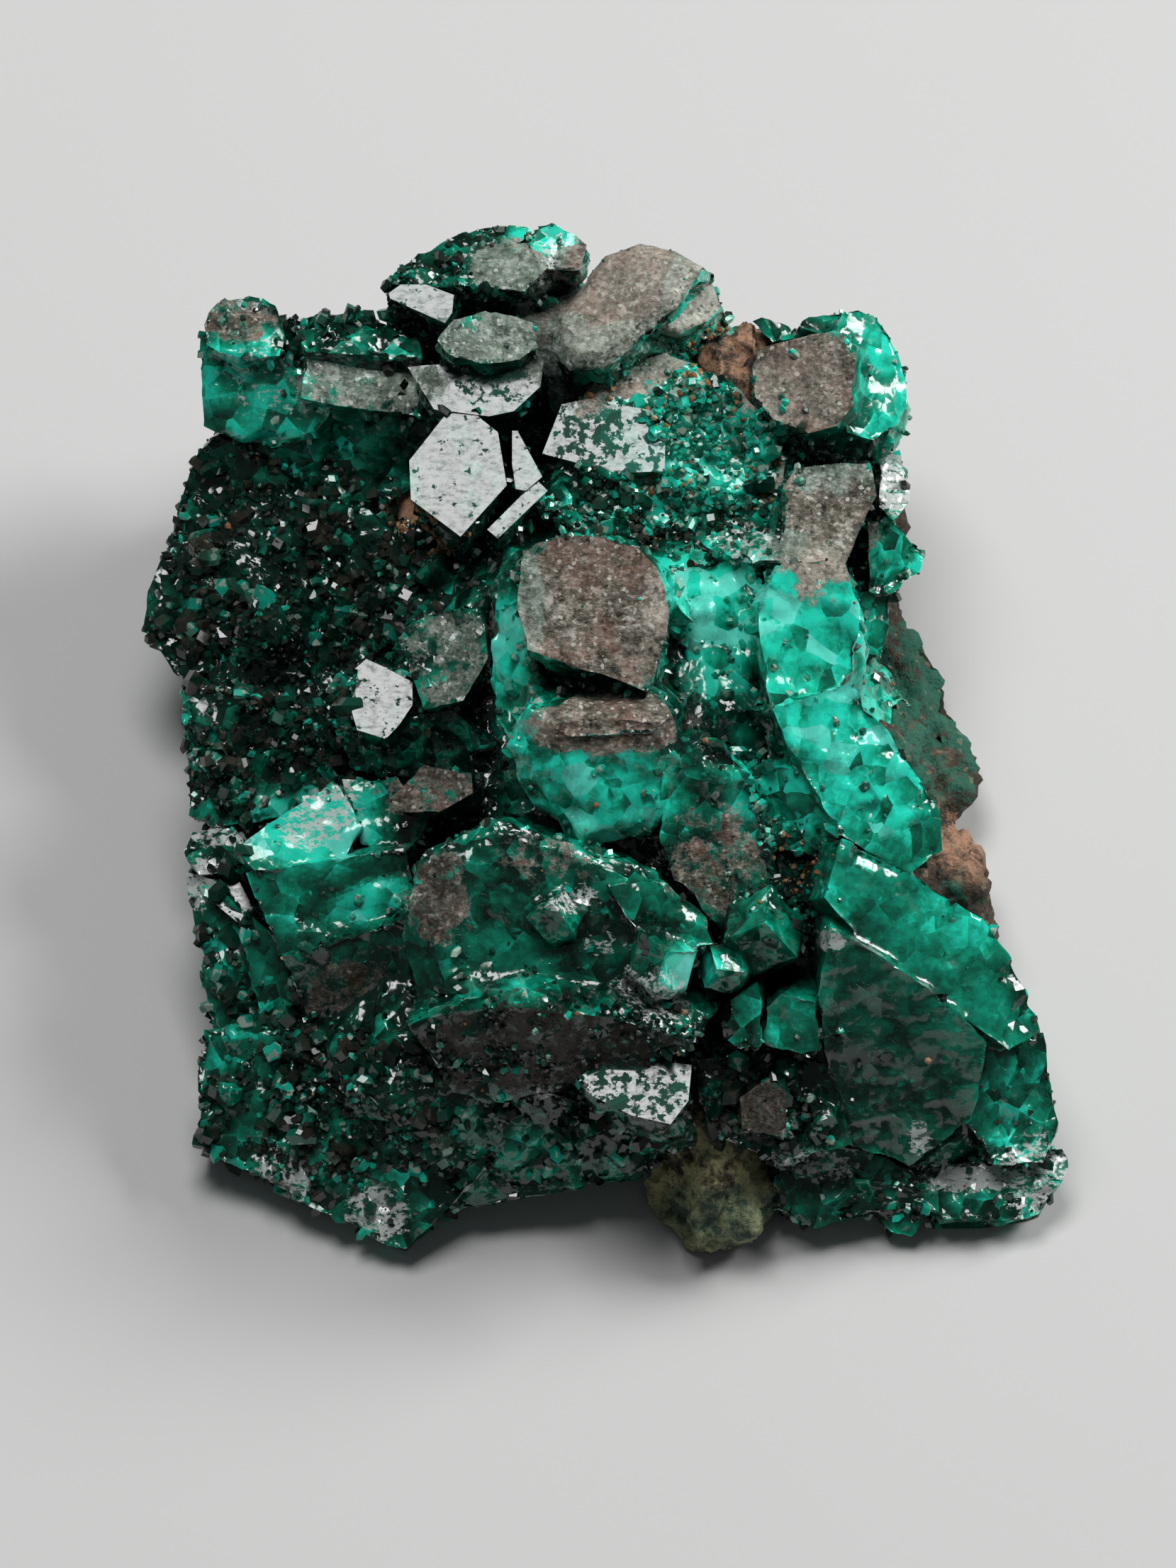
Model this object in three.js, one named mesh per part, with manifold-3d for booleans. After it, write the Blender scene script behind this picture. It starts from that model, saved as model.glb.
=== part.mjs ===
// A hand specimen of dioptase: dark emerald crystals grown together on brown host rock.
// Millimetres, +Z up. The specimen lies on the table at z = 0, its crystals face up and towards -Y.

import * as THREE from "three";
import { ConvexGeometry } from "three/addons/geometries/ConvexGeometry.js";
import { ImprovedNoise } from "three/addons/math/ImprovedNoise.js";
import { mergeVertices } from "three/addons/utils/BufferGeometryUtils.js";
import Module from "manifold-3d";

const wasm = await Module();
wasm.setup();

// Driving dimensions, in millimetres and degrees
// The visible side is set out on a flat sheet that faces a viewer who looks down at VIEW_ELEVATION.
// Sheet places are [across, down] from its top left corner. SHEET_CENTRE lies over the origin.
const VIEW_ELEVATION = 60;
const SHEET_CENTRE = [34.2, 46.4];
const TABLE_CUT = 60; // side of the block that cuts the underside flat at z = 0
const SLIVER = 0.04; // crumbs of surface thinner than this are smoothed away
const ROOT_SPREAD = 0.5; // how unevenly the blocks widen towards their roots, as a share of their size
const ROOT_LEAST = 0.85; // the least size of a root, as a share of its block's face
const CHAMFER_INSET = 0.25; // how far a chamfer draws a face in, as a share of the face for each millimetre
const ROCK_GAP = 0.3; // clearance between the crystals and the rock that they grew on
const TIP_SLOPE = Math.tan(THREE.MathUtils.degToRad(51)); // slope of dioptase's rhombohedral end faces

// How far a face leans from the viewer, as [up, right] in degrees: 30 up is level with the table
const LEVEL_MIRROR = [21, -3]; // the bright growth faces all lie nearly level
const UNDERCUT = [-30, 0];

// The large crystals and broken blocks: the outline of each front face on the sheet, the height of
// its middle above the table, how it leans, and how deep the block runs back from that face
const BLOCKS = {
  // upper left crystal, lying on its side
  leftEndCap: {
    outline: [[11.3, 18.2], [12.2, 17], [14, 16.6], [15.6, 17], [16.1, 18.8], [15.7, 20],
      [13.2, 20.2], [11.6, 19.4]],
    height: 19.5, lean: [22, -8], depth: 10,
  },
  leftEndFront: {
    outline: [[11.1, 18.8], [13.2, 20], [16, 20.2], [18.8, 22.4], [18, 24.8], [15.2, 25.6],
      [12.4, 24.4], [11.4, 24]],
    height: 16.5, lean: [-15, -12], depth: 9,
  },
  leftPrismFace: {
    outline: [[17.2, 20.2], [19.2, 19.8], [22.4, 20], [24, 20.8], [25.7, 23.7], [22.4, 23.3],
      [19.2, 22.9], [17, 22.4]],
    height: 18, lean: [8, 5], depth: 9,
  },
  leftPrismTop: {
    outline: [[16, 17.6], [17.6, 17.3], [21.2, 17.6], [23.6, 18.8], [24, 20.2], [20.8, 20], [17.2, 19.8]],
    height: 19.3, lean: [38, 0], depth: 9,
  },
  leftPrismUnderside: {
    outline: [[17.6, 23], [25.6, 23.7], [26, 25.6], [22.4, 28], [18, 27.6], [13.6, 25.6]],
    height: 14, lean: UNDERCUT, depth: 10,
  },
  leftKnob: {
    outline: [[11.7, 24.6], [13.2, 24], [14.1, 25.2], [13.8, 26.8], [12.4, 27.2], [11.5, 26]],
    height: 12.5, lean: [5, -15], depth: 8,
  },
  // top edge
  topMirror: {
    outline: [[21.9, 16.5], [22.6, 16], [24, 16], [25.6, 16.6], [25.5, 17.6], [25.1, 18.2],
      [23.6, 17.5], [22, 16.8]],
    height: 20.8, lean: LEVEL_MIRROR, depth: 8,
  },
  topRidge: {
    outline: [[21.6, 16], [22.4, 15], [24.8, 13.6], [26, 13], [28, 13.2], [30.4, 13.8], [31, 15],
      [29.6, 16.4],
      [27.2, 16.2], [24.8, 15.6]],
    height: 20.5, lean: [34, -5], depth: 12,
  },
  topTip: {
    outline: [[29.4, 13.2], [30.3, 12.2], [31.3, 12.2], [32, 13.4], [33.2, 13.7], [32.8, 15.2],
      [30.8, 15.2]],
    height: 21, lean: [20, 0], depth: 10,
  },
  topRidgeBack: {
    outline: [[25.6, 13.2], [27.6, 12.5], [29.8, 12.5], [30.4, 13.4], [28, 13.8]],
    height: 20, lean: [30, 0], depth: 8,
  },
  // capped crystal and the six-sided mirror crystal below it
  cappedCrystal: {
    outline: [[24.5, 19.2], [25.6, 18], [28, 17.6], [30, 18.3], [30.5, 19.6], [29.4, 20.4],
      [27.6, 20.6], [25.6, 20.3]],
    height: 23.4, lean: [18, 3], depth: 6,
  },
  cappedCrystalMirror: {
    outline: [[23, 20.7], [24, 20.6], [27.2, 20.5], [30.7, 20.2], [30.5, 21.8], [29, 23.2],
      [27.6, 23.5], [24.5, 23.1]],
    height: 21.2, lean: LEVEL_MIRROR, depth: 9,
  },
  hexagonMirror: {
    outline: [[25.3, 23.2], [26.6, 23.2], [28.1, 24.4], [28.6, 27.4], [26, 30.3], [23.2, 28.2],
      [23.1, 26]],
    height: 20.3, lean: LEVEL_MIRROR, depth: 9,
  },
  hexagonBar: {
    outline: [[27.5, 29.9], [28.1, 30.4], [30.9, 27.7], [30.4, 27.2], [29.4, 28]],
    height: 19.7, lean: LEVEL_MIRROR, depth: 8,
  },
  hexagonSidePlate: {
    outline: [[28.9, 24.3], [29.2, 24.3], [29.6, 26], [30.6, 26.9], [29.7, 27.7], [29.1, 27.6],
      [28.9, 26.2]],
    height: 19.5, lean: LEVEL_MIRROR, depth: 8,
  },
  // brown boulder on the top edge
  boulderTop: {
    outline: [[30.9, 19.6], [31.1, 18], [32.2, 16.6], [34, 14.1], [36, 13.3], [38, 13.9],
      [39.6, 14.8], [38, 17.2],
      [36, 18.8], [34, 20.6], [32, 20.7]],
    height: 24, lean: [20, -8], depth: 13, chamfer: 0.8,
  },
  boulderRight: {
    outline: [[38, 14], [39.4, 14.6], [40.5, 16], [41, 17.3], [40, 18.3], [38.4, 19], [36.8, 18.6],
      [37.8, 16.4]],
    height: 22.4, lean: [15, 25], depth: 11, chamfer: 0.5,
  },
  boulderFoot: {
    outline: [[31, 18.6], [33.2, 17.6], [36, 18.2], [35.6, 20], [34, 20.8], [31.8, 20.8]],
    height: 22.8, lean: [-8, -5], depth: 9,
  },
  saddle: {
    outline: [[41.6, 18.3], [43, 18], [44.6, 18.2], [45.2, 19], [43.2, 19.4], [42, 19.4]],
    height: 19, lean: [25, 0], depth: 8,
  },
  // upper right crystal
  rightCapFace: {
    outline: [[42.3, 20.6], [42.9, 19.6], [45.2, 19], [47.2, 18.7], [48.3, 19.6], [48.1, 21.2],
      [48.2, 22.9],
      [47.2, 24.1], [45.6, 24.5], [43.6, 23.7], [42.6, 22.4]],
    height: 22.5, lean: [10, -10], depth: 12,
  },
  rightCapSide: {
    outline: [[47.2, 18.6], [47.6, 17.5], [49.4, 17.6], [50.5, 18.7], [51.1, 20.8], [50.7, 22.8],
      [51, 24],
      [49.4, 25], [47.8, 24.4]],
    height: 20.8, lean: [12, 30], depth: 11,
  },
  rightCapRidge: {
    outline: [[45, 18.4], [46.4, 17.5], [48, 17.3], [49.8, 17.7], [49.2, 18.8], [46.8, 19]],
    height: 21.3, lean: [35, 5], depth: 9,
  },
  rightCapUnderside: {
    outline: [[43.6, 23.6], [48, 24.4], [50.4, 25], [49.8, 26.4], [47.2, 26], [44.4, 25.2]],
    height: 18, lean: UNDERCUT, depth: 9,
  },
  // pitted plate and the floor of small crystals between the large ones
  pittedPlate: {
    outline: [[30.6, 25.6], [31.7, 22.8], [33.2, 22.5], [37, 23.2], [37.6, 24.5], [37.5, 26.6],
      [34.8, 26.7], [32, 25.9]],
    height: 19.9, lean: LEVEL_MIRROR, depth: 8,
  },
  middleFloor: {
    outline: [[33.6, 20.8], [37.6, 20], [41.6, 21.8], [43.6, 24], [44.4, 26], [44, 28.8], [40, 29.8],
      [36, 30.4],
      [32, 29.6], [30.8, 27.6]],
    height: 18.8, lean: [12, 0], depth: 8,
  },
  // brown face below the upper right crystal, and the right edge beside it
  rightShoulder: {
    outline: [[44.1, 27.6], [44.8, 26.4], [47.2, 26.1], [49.1, 26.1], [49.4, 28], [48, 30.4],
      [47.2, 33], [44.8, 33.3],
      [44, 31.6]],
    height: 22, lean: [6, 8], depth: 11,
  },
  shoulderStep: {
    outline: [[39.4, 30.4], [41.6, 29.7], [43.8, 30.2], [44.4, 31.8], [42.4, 32], [40.4, 31.4]],
    height: 21.3, lean: [20, -5], depth: 8,
  },
  rightEdgePlate: {
    outline: [[49.7, 25.9], [50.8, 25.3], [51.3, 26.4], [51.3, 28.2], [50.4, 29.3], [49.6, 28.6]],
    height: 16.5, lean: [18, 10], depth: 9,
  },
  rightEdgePoint: {
    outline: [[49, 29.4], [50.5, 29.4], [52.2, 31.4], [52, 32.2], [50.2, 33.7], [49, 33.4]],
    height: 14, lean: [0, 15], depth: 9,
  },
  rightEdgeLower: {
    outline: [[48.6, 33.4], [50.5, 33.2], [50.2, 36], [49.8, 37.2], [48.6, 36.8]],
    height: 12, lean: [0, 15], depth: 8,
  },
  // central block with its broad brown face, cracked across below it
  centralFace: {
    outline: [[29.4, 30.9], [31.6, 30.3], [33.8, 30.3], [36, 31], [37, 32], [37.8, 34.4],
      [37.4, 37.2], [36.6, 39.1],
      [34.8, 38.5], [32, 37.4], [29.8, 36.7], [29.1, 34.4]],
    height: 26, lean: [8, -3], depth: 7,
  },
  centralFlank: {
    outline: [[28, 32], [29.4, 31], [29.8, 34], [29.8, 36.8], [30.6, 39.6], [29.8, 43.6],
      [28.2, 42.4], [27.6, 38.4],
      [27.8, 34.4]],
    height: 21.5, lean: [0, -35], depth: 9,
  },
  centralLedge: {
    outline: [[30.4, 40.5], [32, 39.8], [36.8, 39.9], [37.8, 40.5], [36.8, 41.4], [32, 41.6]],
    height: 23.8, lean: [15, 0], depth: 6,
  },
  centralFoot: {
    outline: [[29.8, 40.2], [31.6, 40], [36, 40], [37.8, 40.4], [38.6, 42.4], [38.1, 46],
      [36.2, 47.6], [32.6, 48.1],
      [29.8, 45.4], [28.5, 42.4]],
    height: 22, lean: [-18, 0], depth: 12, chamfer: 0.8,
  },
  // bright ridge to the right of it, and the recess between them
  ridgeTop: {
    outline: [[42.5, 34.2], [44, 31.8], [47.6, 31.6], [48.5, 34.4], [48.3, 38], [46, 40], [43.4, 40],
      [43, 37.2]],
    height: 22, lean: [-3, 8], depth: 12,
  },
  ridgeMiddle: {
    outline: [[43.4, 40], [48, 38.4], [50, 42.8], [52.8, 45.1], [53.2, 48], [51.2, 49.3],
      [47.4, 47.2], [45, 43.4]],
    height: 19.5, lean: [-2, 15], depth: 13,
  },
  ridgeTuft: {
    outline: [[41.8, 44], [43.4, 43.2], [44.8, 43.4], [47.4, 47.2], [46, 48.4], [43.4, 47.8], [42, 46.4]],
    height: 18.3, lean: [-15, -10], depth: 9,
  },
  recess: {
    outline: [[37.8, 32], [42.4, 31.6], [43, 34.4], [43.4, 39.6], [41.6, 40.4], [39.6, 38.6], [38, 36]],
    height: 18.5, lean: [0, 5], depth: 9,
  },
  darkFace: {
    outline: [[38, 42], [40.4, 41.6], [42.4, 44], [42.6, 48], [44.6, 51.6], [43.4, 53.4],
      [40.6, 52.4], [38, 49.6],
      [37.2, 47.2]],
    height: 18.3, lean: [-12, 0], depth: 11,
  },
  // lower right crystal mass and its ledges
  lowerRightTop: {
    outline: [[47.4, 47.2], [51.4, 49.3], [55.4, 51.8], [57, 54], [58.8, 58.2], [56.8, 59.2],
      [52.8, 56], [48.6, 53.2],
      [46.4, 50.6]],
    height: 15.5, lean: [2, 22], depth: 13,
  },
  lowerRightFront: {
    outline: [[46.8, 52.4], [48.6, 53.2], [52.8, 56], [55.6, 58.8], [54.8, 63.2], [51.2, 65.6],
      [48, 64.8], [46.6, 60],
      [46, 56]],
    height: 12, lean: [-28, 3], depth: 13,
  },
  lowerRightEnd: {
    outline: [[55.6, 58.6], [58.8, 58.2], [59, 61.6], [59.8, 64], [58.8, 65.6], [56, 65.6], [54.4, 63.2]],
    height: 6.5, lean: [-5, 15], depth: 9,
  },
  cornerLedge: {
    outline: [[53.2, 65.6], [57.6, 65.2], [60, 64.6], [60.3, 66], [58.8, 68.5], [57.6, 68.9],
      [53.2, 68.9], [52, 67.6]],
    height: 3, lean: [5, 5], depth: 6,
  },
  rightFoot: {
    outline: [[48, 66.4], [52.8, 67.2], [52.4, 68.6], [51.4, 69.9], [50.2, 69.6], [48.6, 68.6]],
    height: 2.4, lean: [-20, 0], depth: 5,
  },
  frontLedge: {
    outline: [[43.4, 65.6], [45.2, 64.4], [48.4, 64.8], [52.8, 66.4], [52, 68], [48, 68.4],
      [46, 69.1], [43.4, 68.2]],
    height: 3.5, lean: [-5, 0], depth: 6,
  },
  // lower middle: broad broken block, ledge, and the crystals in front of it
  lowerBlock: {
    outline: [[23.4, 48.6], [27.6, 46], [32, 47.8], [36.2, 49], [37.4, 51.6], [36, 53.6],
      [35.2, 57.2], [28, 56.2],
      [23.6, 56.8], [22.7, 52.8]],
    height: 17.5, lean: [-8, -5], depth: 12, chamfer: 0.5,
  },
  greenBlock: {
    outline: [[34.4, 50], [37.2, 49.4], [40, 51.6], [40.2, 53.2], [38.4, 53.8], [36, 53.2]],
    height: 18.6, lean: [0, 10], depth: 7,
  },
  tealBlock: {
    outline: [[43.2, 56.8], [44, 56], [46, 56.4], [46.2, 59.2], [45.2, 59.5], [43, 58.8]],
    height: 14, lean: [-20, 0], depth: 6,
  },
  greyBlock: {
    outline: [[40.8, 58.4], [41.2, 56.4], [42.4, 55.8], [42.9, 56.8], [42.7, 59], [41.6, 59.2]],
    height: 14.6, lean: [-15, -10], depth: 6,
  },
  brownLedge: {
    outline: [[22.9, 57.8], [25.6, 57], [28.8, 56.7], [34.4, 57.3], [39.4, 58.8], [38.7, 59.4],
      [34.8, 59.5],
      [32, 60.6], [27.6, 62.4], [25.6, 61.6], [24, 59.2]],
    height: 14, lean: [-40, -5], depth: 10,
  },
  lowMirror: {
    outline: [[32.6, 60.6], [34.4, 59.8], [36, 59.6], [39, 60], [38.8, 62], [37.8, 63.3],
      [35.6, 62.8], [33.2, 61.6]],
    height: 13.2, lean: LEVEL_MIRROR, depth: 8,
  },
  frontFloor: {
    outline: [[39, 59.6], [43.2, 59.2], [46.8, 60], [48, 64.4], [44, 65.6], [40, 64]],
    height: 9, lean: [-5, 0], depth: 9,
  },
  darkSquare: {
    outline: [[41.6, 61.8], [43.4, 60.8], [44.4, 61.5], [44.3, 64.1], [41.8, 63.6]],
    height: 11, lean: [5, -8], depth: 6,
  },
  frontWall: {
    outline: [[24, 60], [27.6, 62.4], [34.4, 62.4], [38.4, 63.6], [36.8, 66.4], [32, 65.9],
      [28.8, 66.6], [25.6, 68],
      [23.6, 68.8]],
    height: 6, lean: UNDERCUT, depth: 10,
  },
  // broken crystal between the blocks
  tuftRoot: {
    outline: [[43.6, 48.2], [46.8, 48.6], [47.2, 52], [46.4, 56.4], [44.6, 54]],
    height: 13.6, lean: [-5, 5], depth: 9,
  },
  footRoot: {
    outline: [[34, 47.4], [38, 46.2], [38.8, 49.6], [36.2, 50]],
    height: 15.6, lean: [-10, 0], depth: 8,
  },
  wedgeRoot: {
    outline: [[19.4, 44], [22.4, 43.8], [24.4, 46], [23.2, 48.4], [20.4, 47.6]],
    height: 14.4, lean: [0, -10], depth: 9,
  },
  wallRoot: {
    outline: [[13.8, 51.4], [15.6, 52.6], [17.4, 57.4], [15, 58], [13.8, 55]],
    height: 8.8, lean: [-5, -15], depth: 7,
  },
  // left side, which falls away from the viewer
  leftMirror: {
    outline: [[20, 37.8], [20.7, 37.2], [21.8, 37.7], [23.3, 38.5], [23.3, 39.8], [22.5, 41],
      [21.8, 41.7], [20.2, 41.2],
      [19.9, 40.2]],
    height: 17.5, lean: LEVEL_MIRROR, depth: 8,
  },
  leftMirrorSide: {
    outline: [[17.6, 39.8], [19.6, 37.6], [20.2, 37.8], [20.1, 40.6], [18, 40.3]],
    height: 16.9, lean: [8, -20], depth: 7,
  },
  oliveFace: {
    outline: [[22.4, 36], [24, 34.6], [27.2, 34.2], [27.6, 37.2], [26.2, 39.6], [24, 40], [23.4, 38.4]],
    height: 19.6, lean: [5, -12], depth: 9,
  },
  leftStep: {
    outline: [[18.8, 41.2], [22.4, 41.2], [25.6, 40], [28, 42], [27.6, 44.4], [24, 44], [20, 43.6]],
    height: 15.6, lean: [-20, 0], depth: 9,
  },
  leftWedge: {
    outline: [[21.8, 45.2], [24, 43.2], [26.6, 43.6], [26.8, 44.8], [24.8, 45.8], [22.4, 46]],
    height: 17.6, lean: [5, -15], depth: 8,
  },
  leftUpperSlope: {
    outline: [[10.8, 25.6], [12, 24.4], [18, 27.2], [22.4, 28], [20.8, 30.4], [12, 31.2], [9.4, 30.4],
      [10.2, 28]],
    height: 11.5, lean: [-10, -10], depth: 10,
  },
  leftUpperField: {
    outline: [[8.6, 32], [10.8, 27.6], [16, 28], [20.8, 28.8], [24, 32], [22.4, 36], [18, 39.6],
      [13.2, 39.2], [9.6, 38],
      [7.8, 35.6]],
    height: 10.5, lean: [5, -15], depth: 10,
  },
  leftLowerField: {
    outline: [[10.2, 38.4], [13.2, 39.2], [18, 40], [20.8, 44], [16.8, 46], [12, 46.8], [10.7, 46],
      [11.4, 43.2]],
    height: 11, lean: [0, -15], depth: 11,
  },
  striatedCrystal: {
    outline: [[13.2, 47.8], [16, 46], [18.8, 44], [19.9, 45.2], [20.5, 46.6], [19.6, 48.2],
      [17.6, 48.9], [14.4, 49.1]],
    height: 14.5, lean: [12, 5], depth: 9,
  },
  striatedEnd: {
    outline: [[10.2, 48], [10.8, 46.8], [13.2, 46.8], [13.8, 48], [13.4, 49.2], [11.2, 49.4]],
    height: 10.5, lean: [10, -10], depth: 9,
  },
  lowerLeftBlock: {
    outline: [[13.8, 49.2], [18.8, 49.1], [23.2, 47.8], [23.7, 51.4], [18, 53.8], [15.8, 53.8]],
    height: 13, lean: [-8, -5], depth: 10,
  },
  lowerLeftDark: {
    outline: [[16, 54], [18, 53.8], [23.6, 51.6], [23, 56.8], [21.6, 58], [17.2, 57.8]],
    height: 10.5, lean: [-25, -5], depth: 10,
  },
  edgePlates: {
    outline: [[11.9, 49.6], [13.3, 49.3], [13.7, 50.7], [14.3, 51.2], [14.1, 52.5], [13.4, 52],
      [12.3, 51.1]],
    height: 9.2, lean: LEVEL_MIRROR, depth: 8,
  },
  leftLowWall: {
    outline: [[10.5, 49.2], [12, 49.6], [14.4, 52.4], [16, 56], [15.2, 58.4], [12, 58.8], [11.6, 56],
      [11.7, 53.2],
      [10.8, 50.8]],
    height: 7.5, lean: [-5, -20], depth: 9,
  },
  lowerLeftField: {
    outline: [[11.5, 58], [16.8, 57.8], [22.4, 58.2], [25.6, 60.8], [28, 65.6], [25.6, 68],
      [24, 69.2], [22.8, 70.7],
      [21.6, 70.2], [16.8, 67.6], [11.4, 64.9], [11, 60]],
    height: 5, lean: [-5, -10], depth: 8,
  },
};

// Whole crystals with three-sided tips: the tip's place and height, its lean, turn, width and length
const TIPPED_CRYSTALS = [
  { tip: [37.6, 53.6], height: 20, lean: [14, 6], turn: 75, width: 4.4, length: 8 },
  { tip: [43.1, 52], height: 18.8, lean: [10, 4], turn: 20, width: 5.2, length: 9 },
  { tip: [40.4, 54.6], height: 17.4, lean: [0, -8], turn: 50, width: 3.2, length: 7 },
  { tip: [31.2, 51], height: 20, lean: [20, -6], turn: 10, width: 3.4, length: 7 },
  { tip: [38.2, 34.2], height: 21.5, lean: [16, 14], turn: 35, width: 3, length: 7 },
  { tip: [24.6, 31.8], height: 15.5, lean: [12, -10], turn: 15, width: 3, length: 7 },
  { tip: [14.4, 34.6], height: 13.4, lean: [16, -12], turn: 40, width: 3.4, length: 7 },
  { tip: [47.4, 58.2], height: 13.2, lean: [-12, 10], turn: 25, width: 3, length: 6 },
];

// Broken lumps inside and behind the visible side: [x, y, z] of the middle and half sizes along x, y and z
const CORE_LUMPS = [
  { middle: [1, 3, 10], half: [15, 17, 9], seed: 3 },
  { middle: [-11, 10, 5.5], half: [9, 12, 6.5], seed: 7 },
  { middle: [8, 8, 10], half: [8, 12, 9], seed: 11 },
  { middle: [-6, -17, 6], half: [13, 10, 6], seed: 19 },
  { middle: [12, -15, 6], half: [11, 10, 6], seed: 23 },
  { middle: [19, -20.5, 3], half: [5.5, 4.5, 4], seed: 43 },
  { middle: [-2, 22, 13], half: [9, 5, 6], seed: 29 },
  { middle: [-15, 21, 11], half: [5, 4.5, 5], seed: 31 },
  { middle: [12, 20, 13], half: [6, 4.5, 5.5], seed: 37 },
];
const LUMP_CORNERS = 22; // corners of a broken lump
const LUMP_TURN = 2.4; // turn from one corner of a lump to the next, in radians
const LUMP_JITTER = 0.7; // how far a corner strays from its turn, in radians
const LUMP_REACH = [0.86, 1.14]; // how far a corner lies from the middle, as a share of the half size

// Fields of small crystals: the middle of each on the sheet, its radii, and how many crystals stand in it
const SMALL_FIELDS = [
  { middle: [40, 25.5], radii: [4.2, 3.8], count: 18 },
  { middle: [33.5, 28.2], radii: [3.4, 1.6], count: 7 },
  { middle: [14.5, 33.5], radii: [5.5, 4.5], count: 14 },
  { middle: [15, 42.5], radii: [4, 3.2], count: 9 },
  { middle: [18, 62.5], radii: [6, 3.6], count: 14 },
  { middle: [30, 64.4], radii: [5, 1.2], count: 3 },
  { middle: [44.5, 61.8], radii: [3, 2.4], count: 6 },
  { middle: [20, 18.2], radii: [3.4, 0.8], count: 3 },
];
const SMALL_WIDTH = [0.8, 1.9]; // width of a small crystal, from the least to the most
const SMALL_LENGTH = 1.5; // length of a small crystal, in widths
const SMALL_LEAN = 15; // how far the small crystals lean up the sheet, in degrees
const SMALL_SCATTER = 26; // how far each strays from that, in degrees
const SMALL_STAND = 0.75; // how far a small crystal stands out of the ground, in widths

// Host rock: the middle and half sizes of each lump, joined and cut flat underneath
const ROCK_LUMPS = [
  { middle: [-1, 1, 2], half: [20, 22, 6.5] },
  { middle: [-9, 15, 4], half: [11, 9, 8] },
  { middle: [6, 15, 5], half: [10.5, 8.5, 9] },
  { middle: [7.3, 19, 12], half: [2.8, 4.5, 8] },
  { middle: [14.2, -0.4, 5.4], half: [4.5, 4.4, 5.6] },
  { middle: [18.7, -7.6, 3.6], half: [3.2, 4, 4.6] },
  { middle: [6.3, -22.6, 2], half: [3.9, 6, 5.4] },
];
const ROCK_DETAIL = 2; // subdivisions of each lump's surface
const ROCK_ROUGHNESS = 0.32; // height of the lumps on the rock, as a share of its size
const ROCK_GRAIN = 1.7; // lumps across a half size

const rad = THREE.MathUtils.degToRad;
const ELEVATION = rad(VIEW_ELEVATION);
const ACROSS = new THREE.Vector3(1, 0, 0);
const UPWARD = new THREE.Vector3(0, Math.sin(ELEVATION), Math.cos(ELEVATION));
const OUTWARD = new THREE.Vector3(0, -Math.cos(ELEVATION), Math.sin(ELEVATION));

// A repeatable stream of numbers from 0 to 1
function stream(seed) {
  let state = seed;
  return () => {
    state = (state * 16807) % 2147483647;
    return state / 2147483647;
  };
}

// The point at a height above the table that shows at a place on the sheet
function place([across, down], height) {
  const rise = (SHEET_CENTRE[1] - down) / Math.sin(ELEVATION);
  return new THREE.Vector3(across - SHEET_CENTRE[0], rise - height / Math.tan(ELEVATION), height);
}

// The direction of a face that leans up and right from the viewer by these angles
function facing([up, right]) {
  return new THREE.Vector3()
    .addScaledVector(OUTWARD, Math.cos(rad(up)) * Math.cos(rad(right)))
    .addScaledVector(UPWARD, Math.sin(rad(up)) * Math.cos(rad(right)))
    .addScaledVector(ACROSS, Math.sin(rad(right)));
}

// A closed geometry as a solid that can be joined and cut
function solidOf(geometry) {
  geometry.deleteAttribute("normal");
  geometry.deleteAttribute("uv");
  const merged = mergeVertices(geometry, 1e-4);
  return new wasm.Manifold(new wasm.Mesh({
    numProp: 3,
    vertProperties: merged.getAttribute("position").array,
    triVerts: new Uint32Array(merged.index.array),
  }));
}

// A solid back as a geometry
function geometryOf(solid) {
  const { vertProperties, triVerts } = solid.getMesh();
  return new THREE.BufferGeometry()
    .setAttribute("position", new THREE.BufferAttribute(vertProperties, 3))
    .setIndex(new THREE.BufferAttribute(triVerts, 1));
}

const joined = (solids) => solids.reduce((whole, solid) => whole.add(solid));

// Everything below the table, for cutting an underside flat
function belowTable() {
  const block = new THREE.BoxGeometry(2 * TABLE_CUT, 2 * TABLE_CUT, TABLE_CUT);
  return solidOf(block.translate(0, 0, -TABLE_CUT / 2));
}

// A block behind one flat face that runs back to a broken, uneven root. A chamfer rounds its rim off.
function faceBlock({ outline, height, lean, depth, chamfer = 0 }, index) {
  const normal = facing(lean);
  const next = stream(index + 101);
  const mean = (axis) => outline.reduce((sum, point) => sum + point[axis], 0) / outline.length;
  const middle = place([mean(0), mean(1)], height);
  const rim = outline.map((point) => {
    const seen = place(point, height);
    const slide = middle.clone().sub(seen).dot(normal) / OUTWARD.dot(normal);
    return seen.addScaledVector(OUTWARD, slide);
  });
  const ring = (spread, back) =>
    rim.map((point) => point.clone().lerp(middle, 1 - spread()).addScaledVector(normal, -back));
  const front = chamfer ? [...ring(() => 1 - CHAMFER_INSET * chamfer, 0), ...ring(() => 1, chamfer)] : rim;
  const root = ring(() => ROOT_LEAST + ROOT_SPREAD * next(), depth).filter((_, corner) => corner % 2 === 0);
  return solidOf(new ConvexGeometry([...front, ...root]));
}

// A six-sided prism with a three-sided tip, its tip at the origin and its length along -Z
function crystalPoints(width, length) {
  const radius = width / 2;
  const points = [new THREE.Vector3(0, 0, 0)];
  for (let corner = 0; corner < 6; corner += 1) {
    const angle = (corner * Math.PI) / 3;
    const drop = radius * TIP_SLOPE * (corner % 2 ? 0.5 : 1);
    points.push(new THREE.Vector3(radius * Math.cos(angle), radius * Math.sin(angle), -drop));
    points.push(new THREE.Vector3(radius * Math.cos(angle), radius * Math.sin(angle), -length));
  }
  return points;
}

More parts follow.
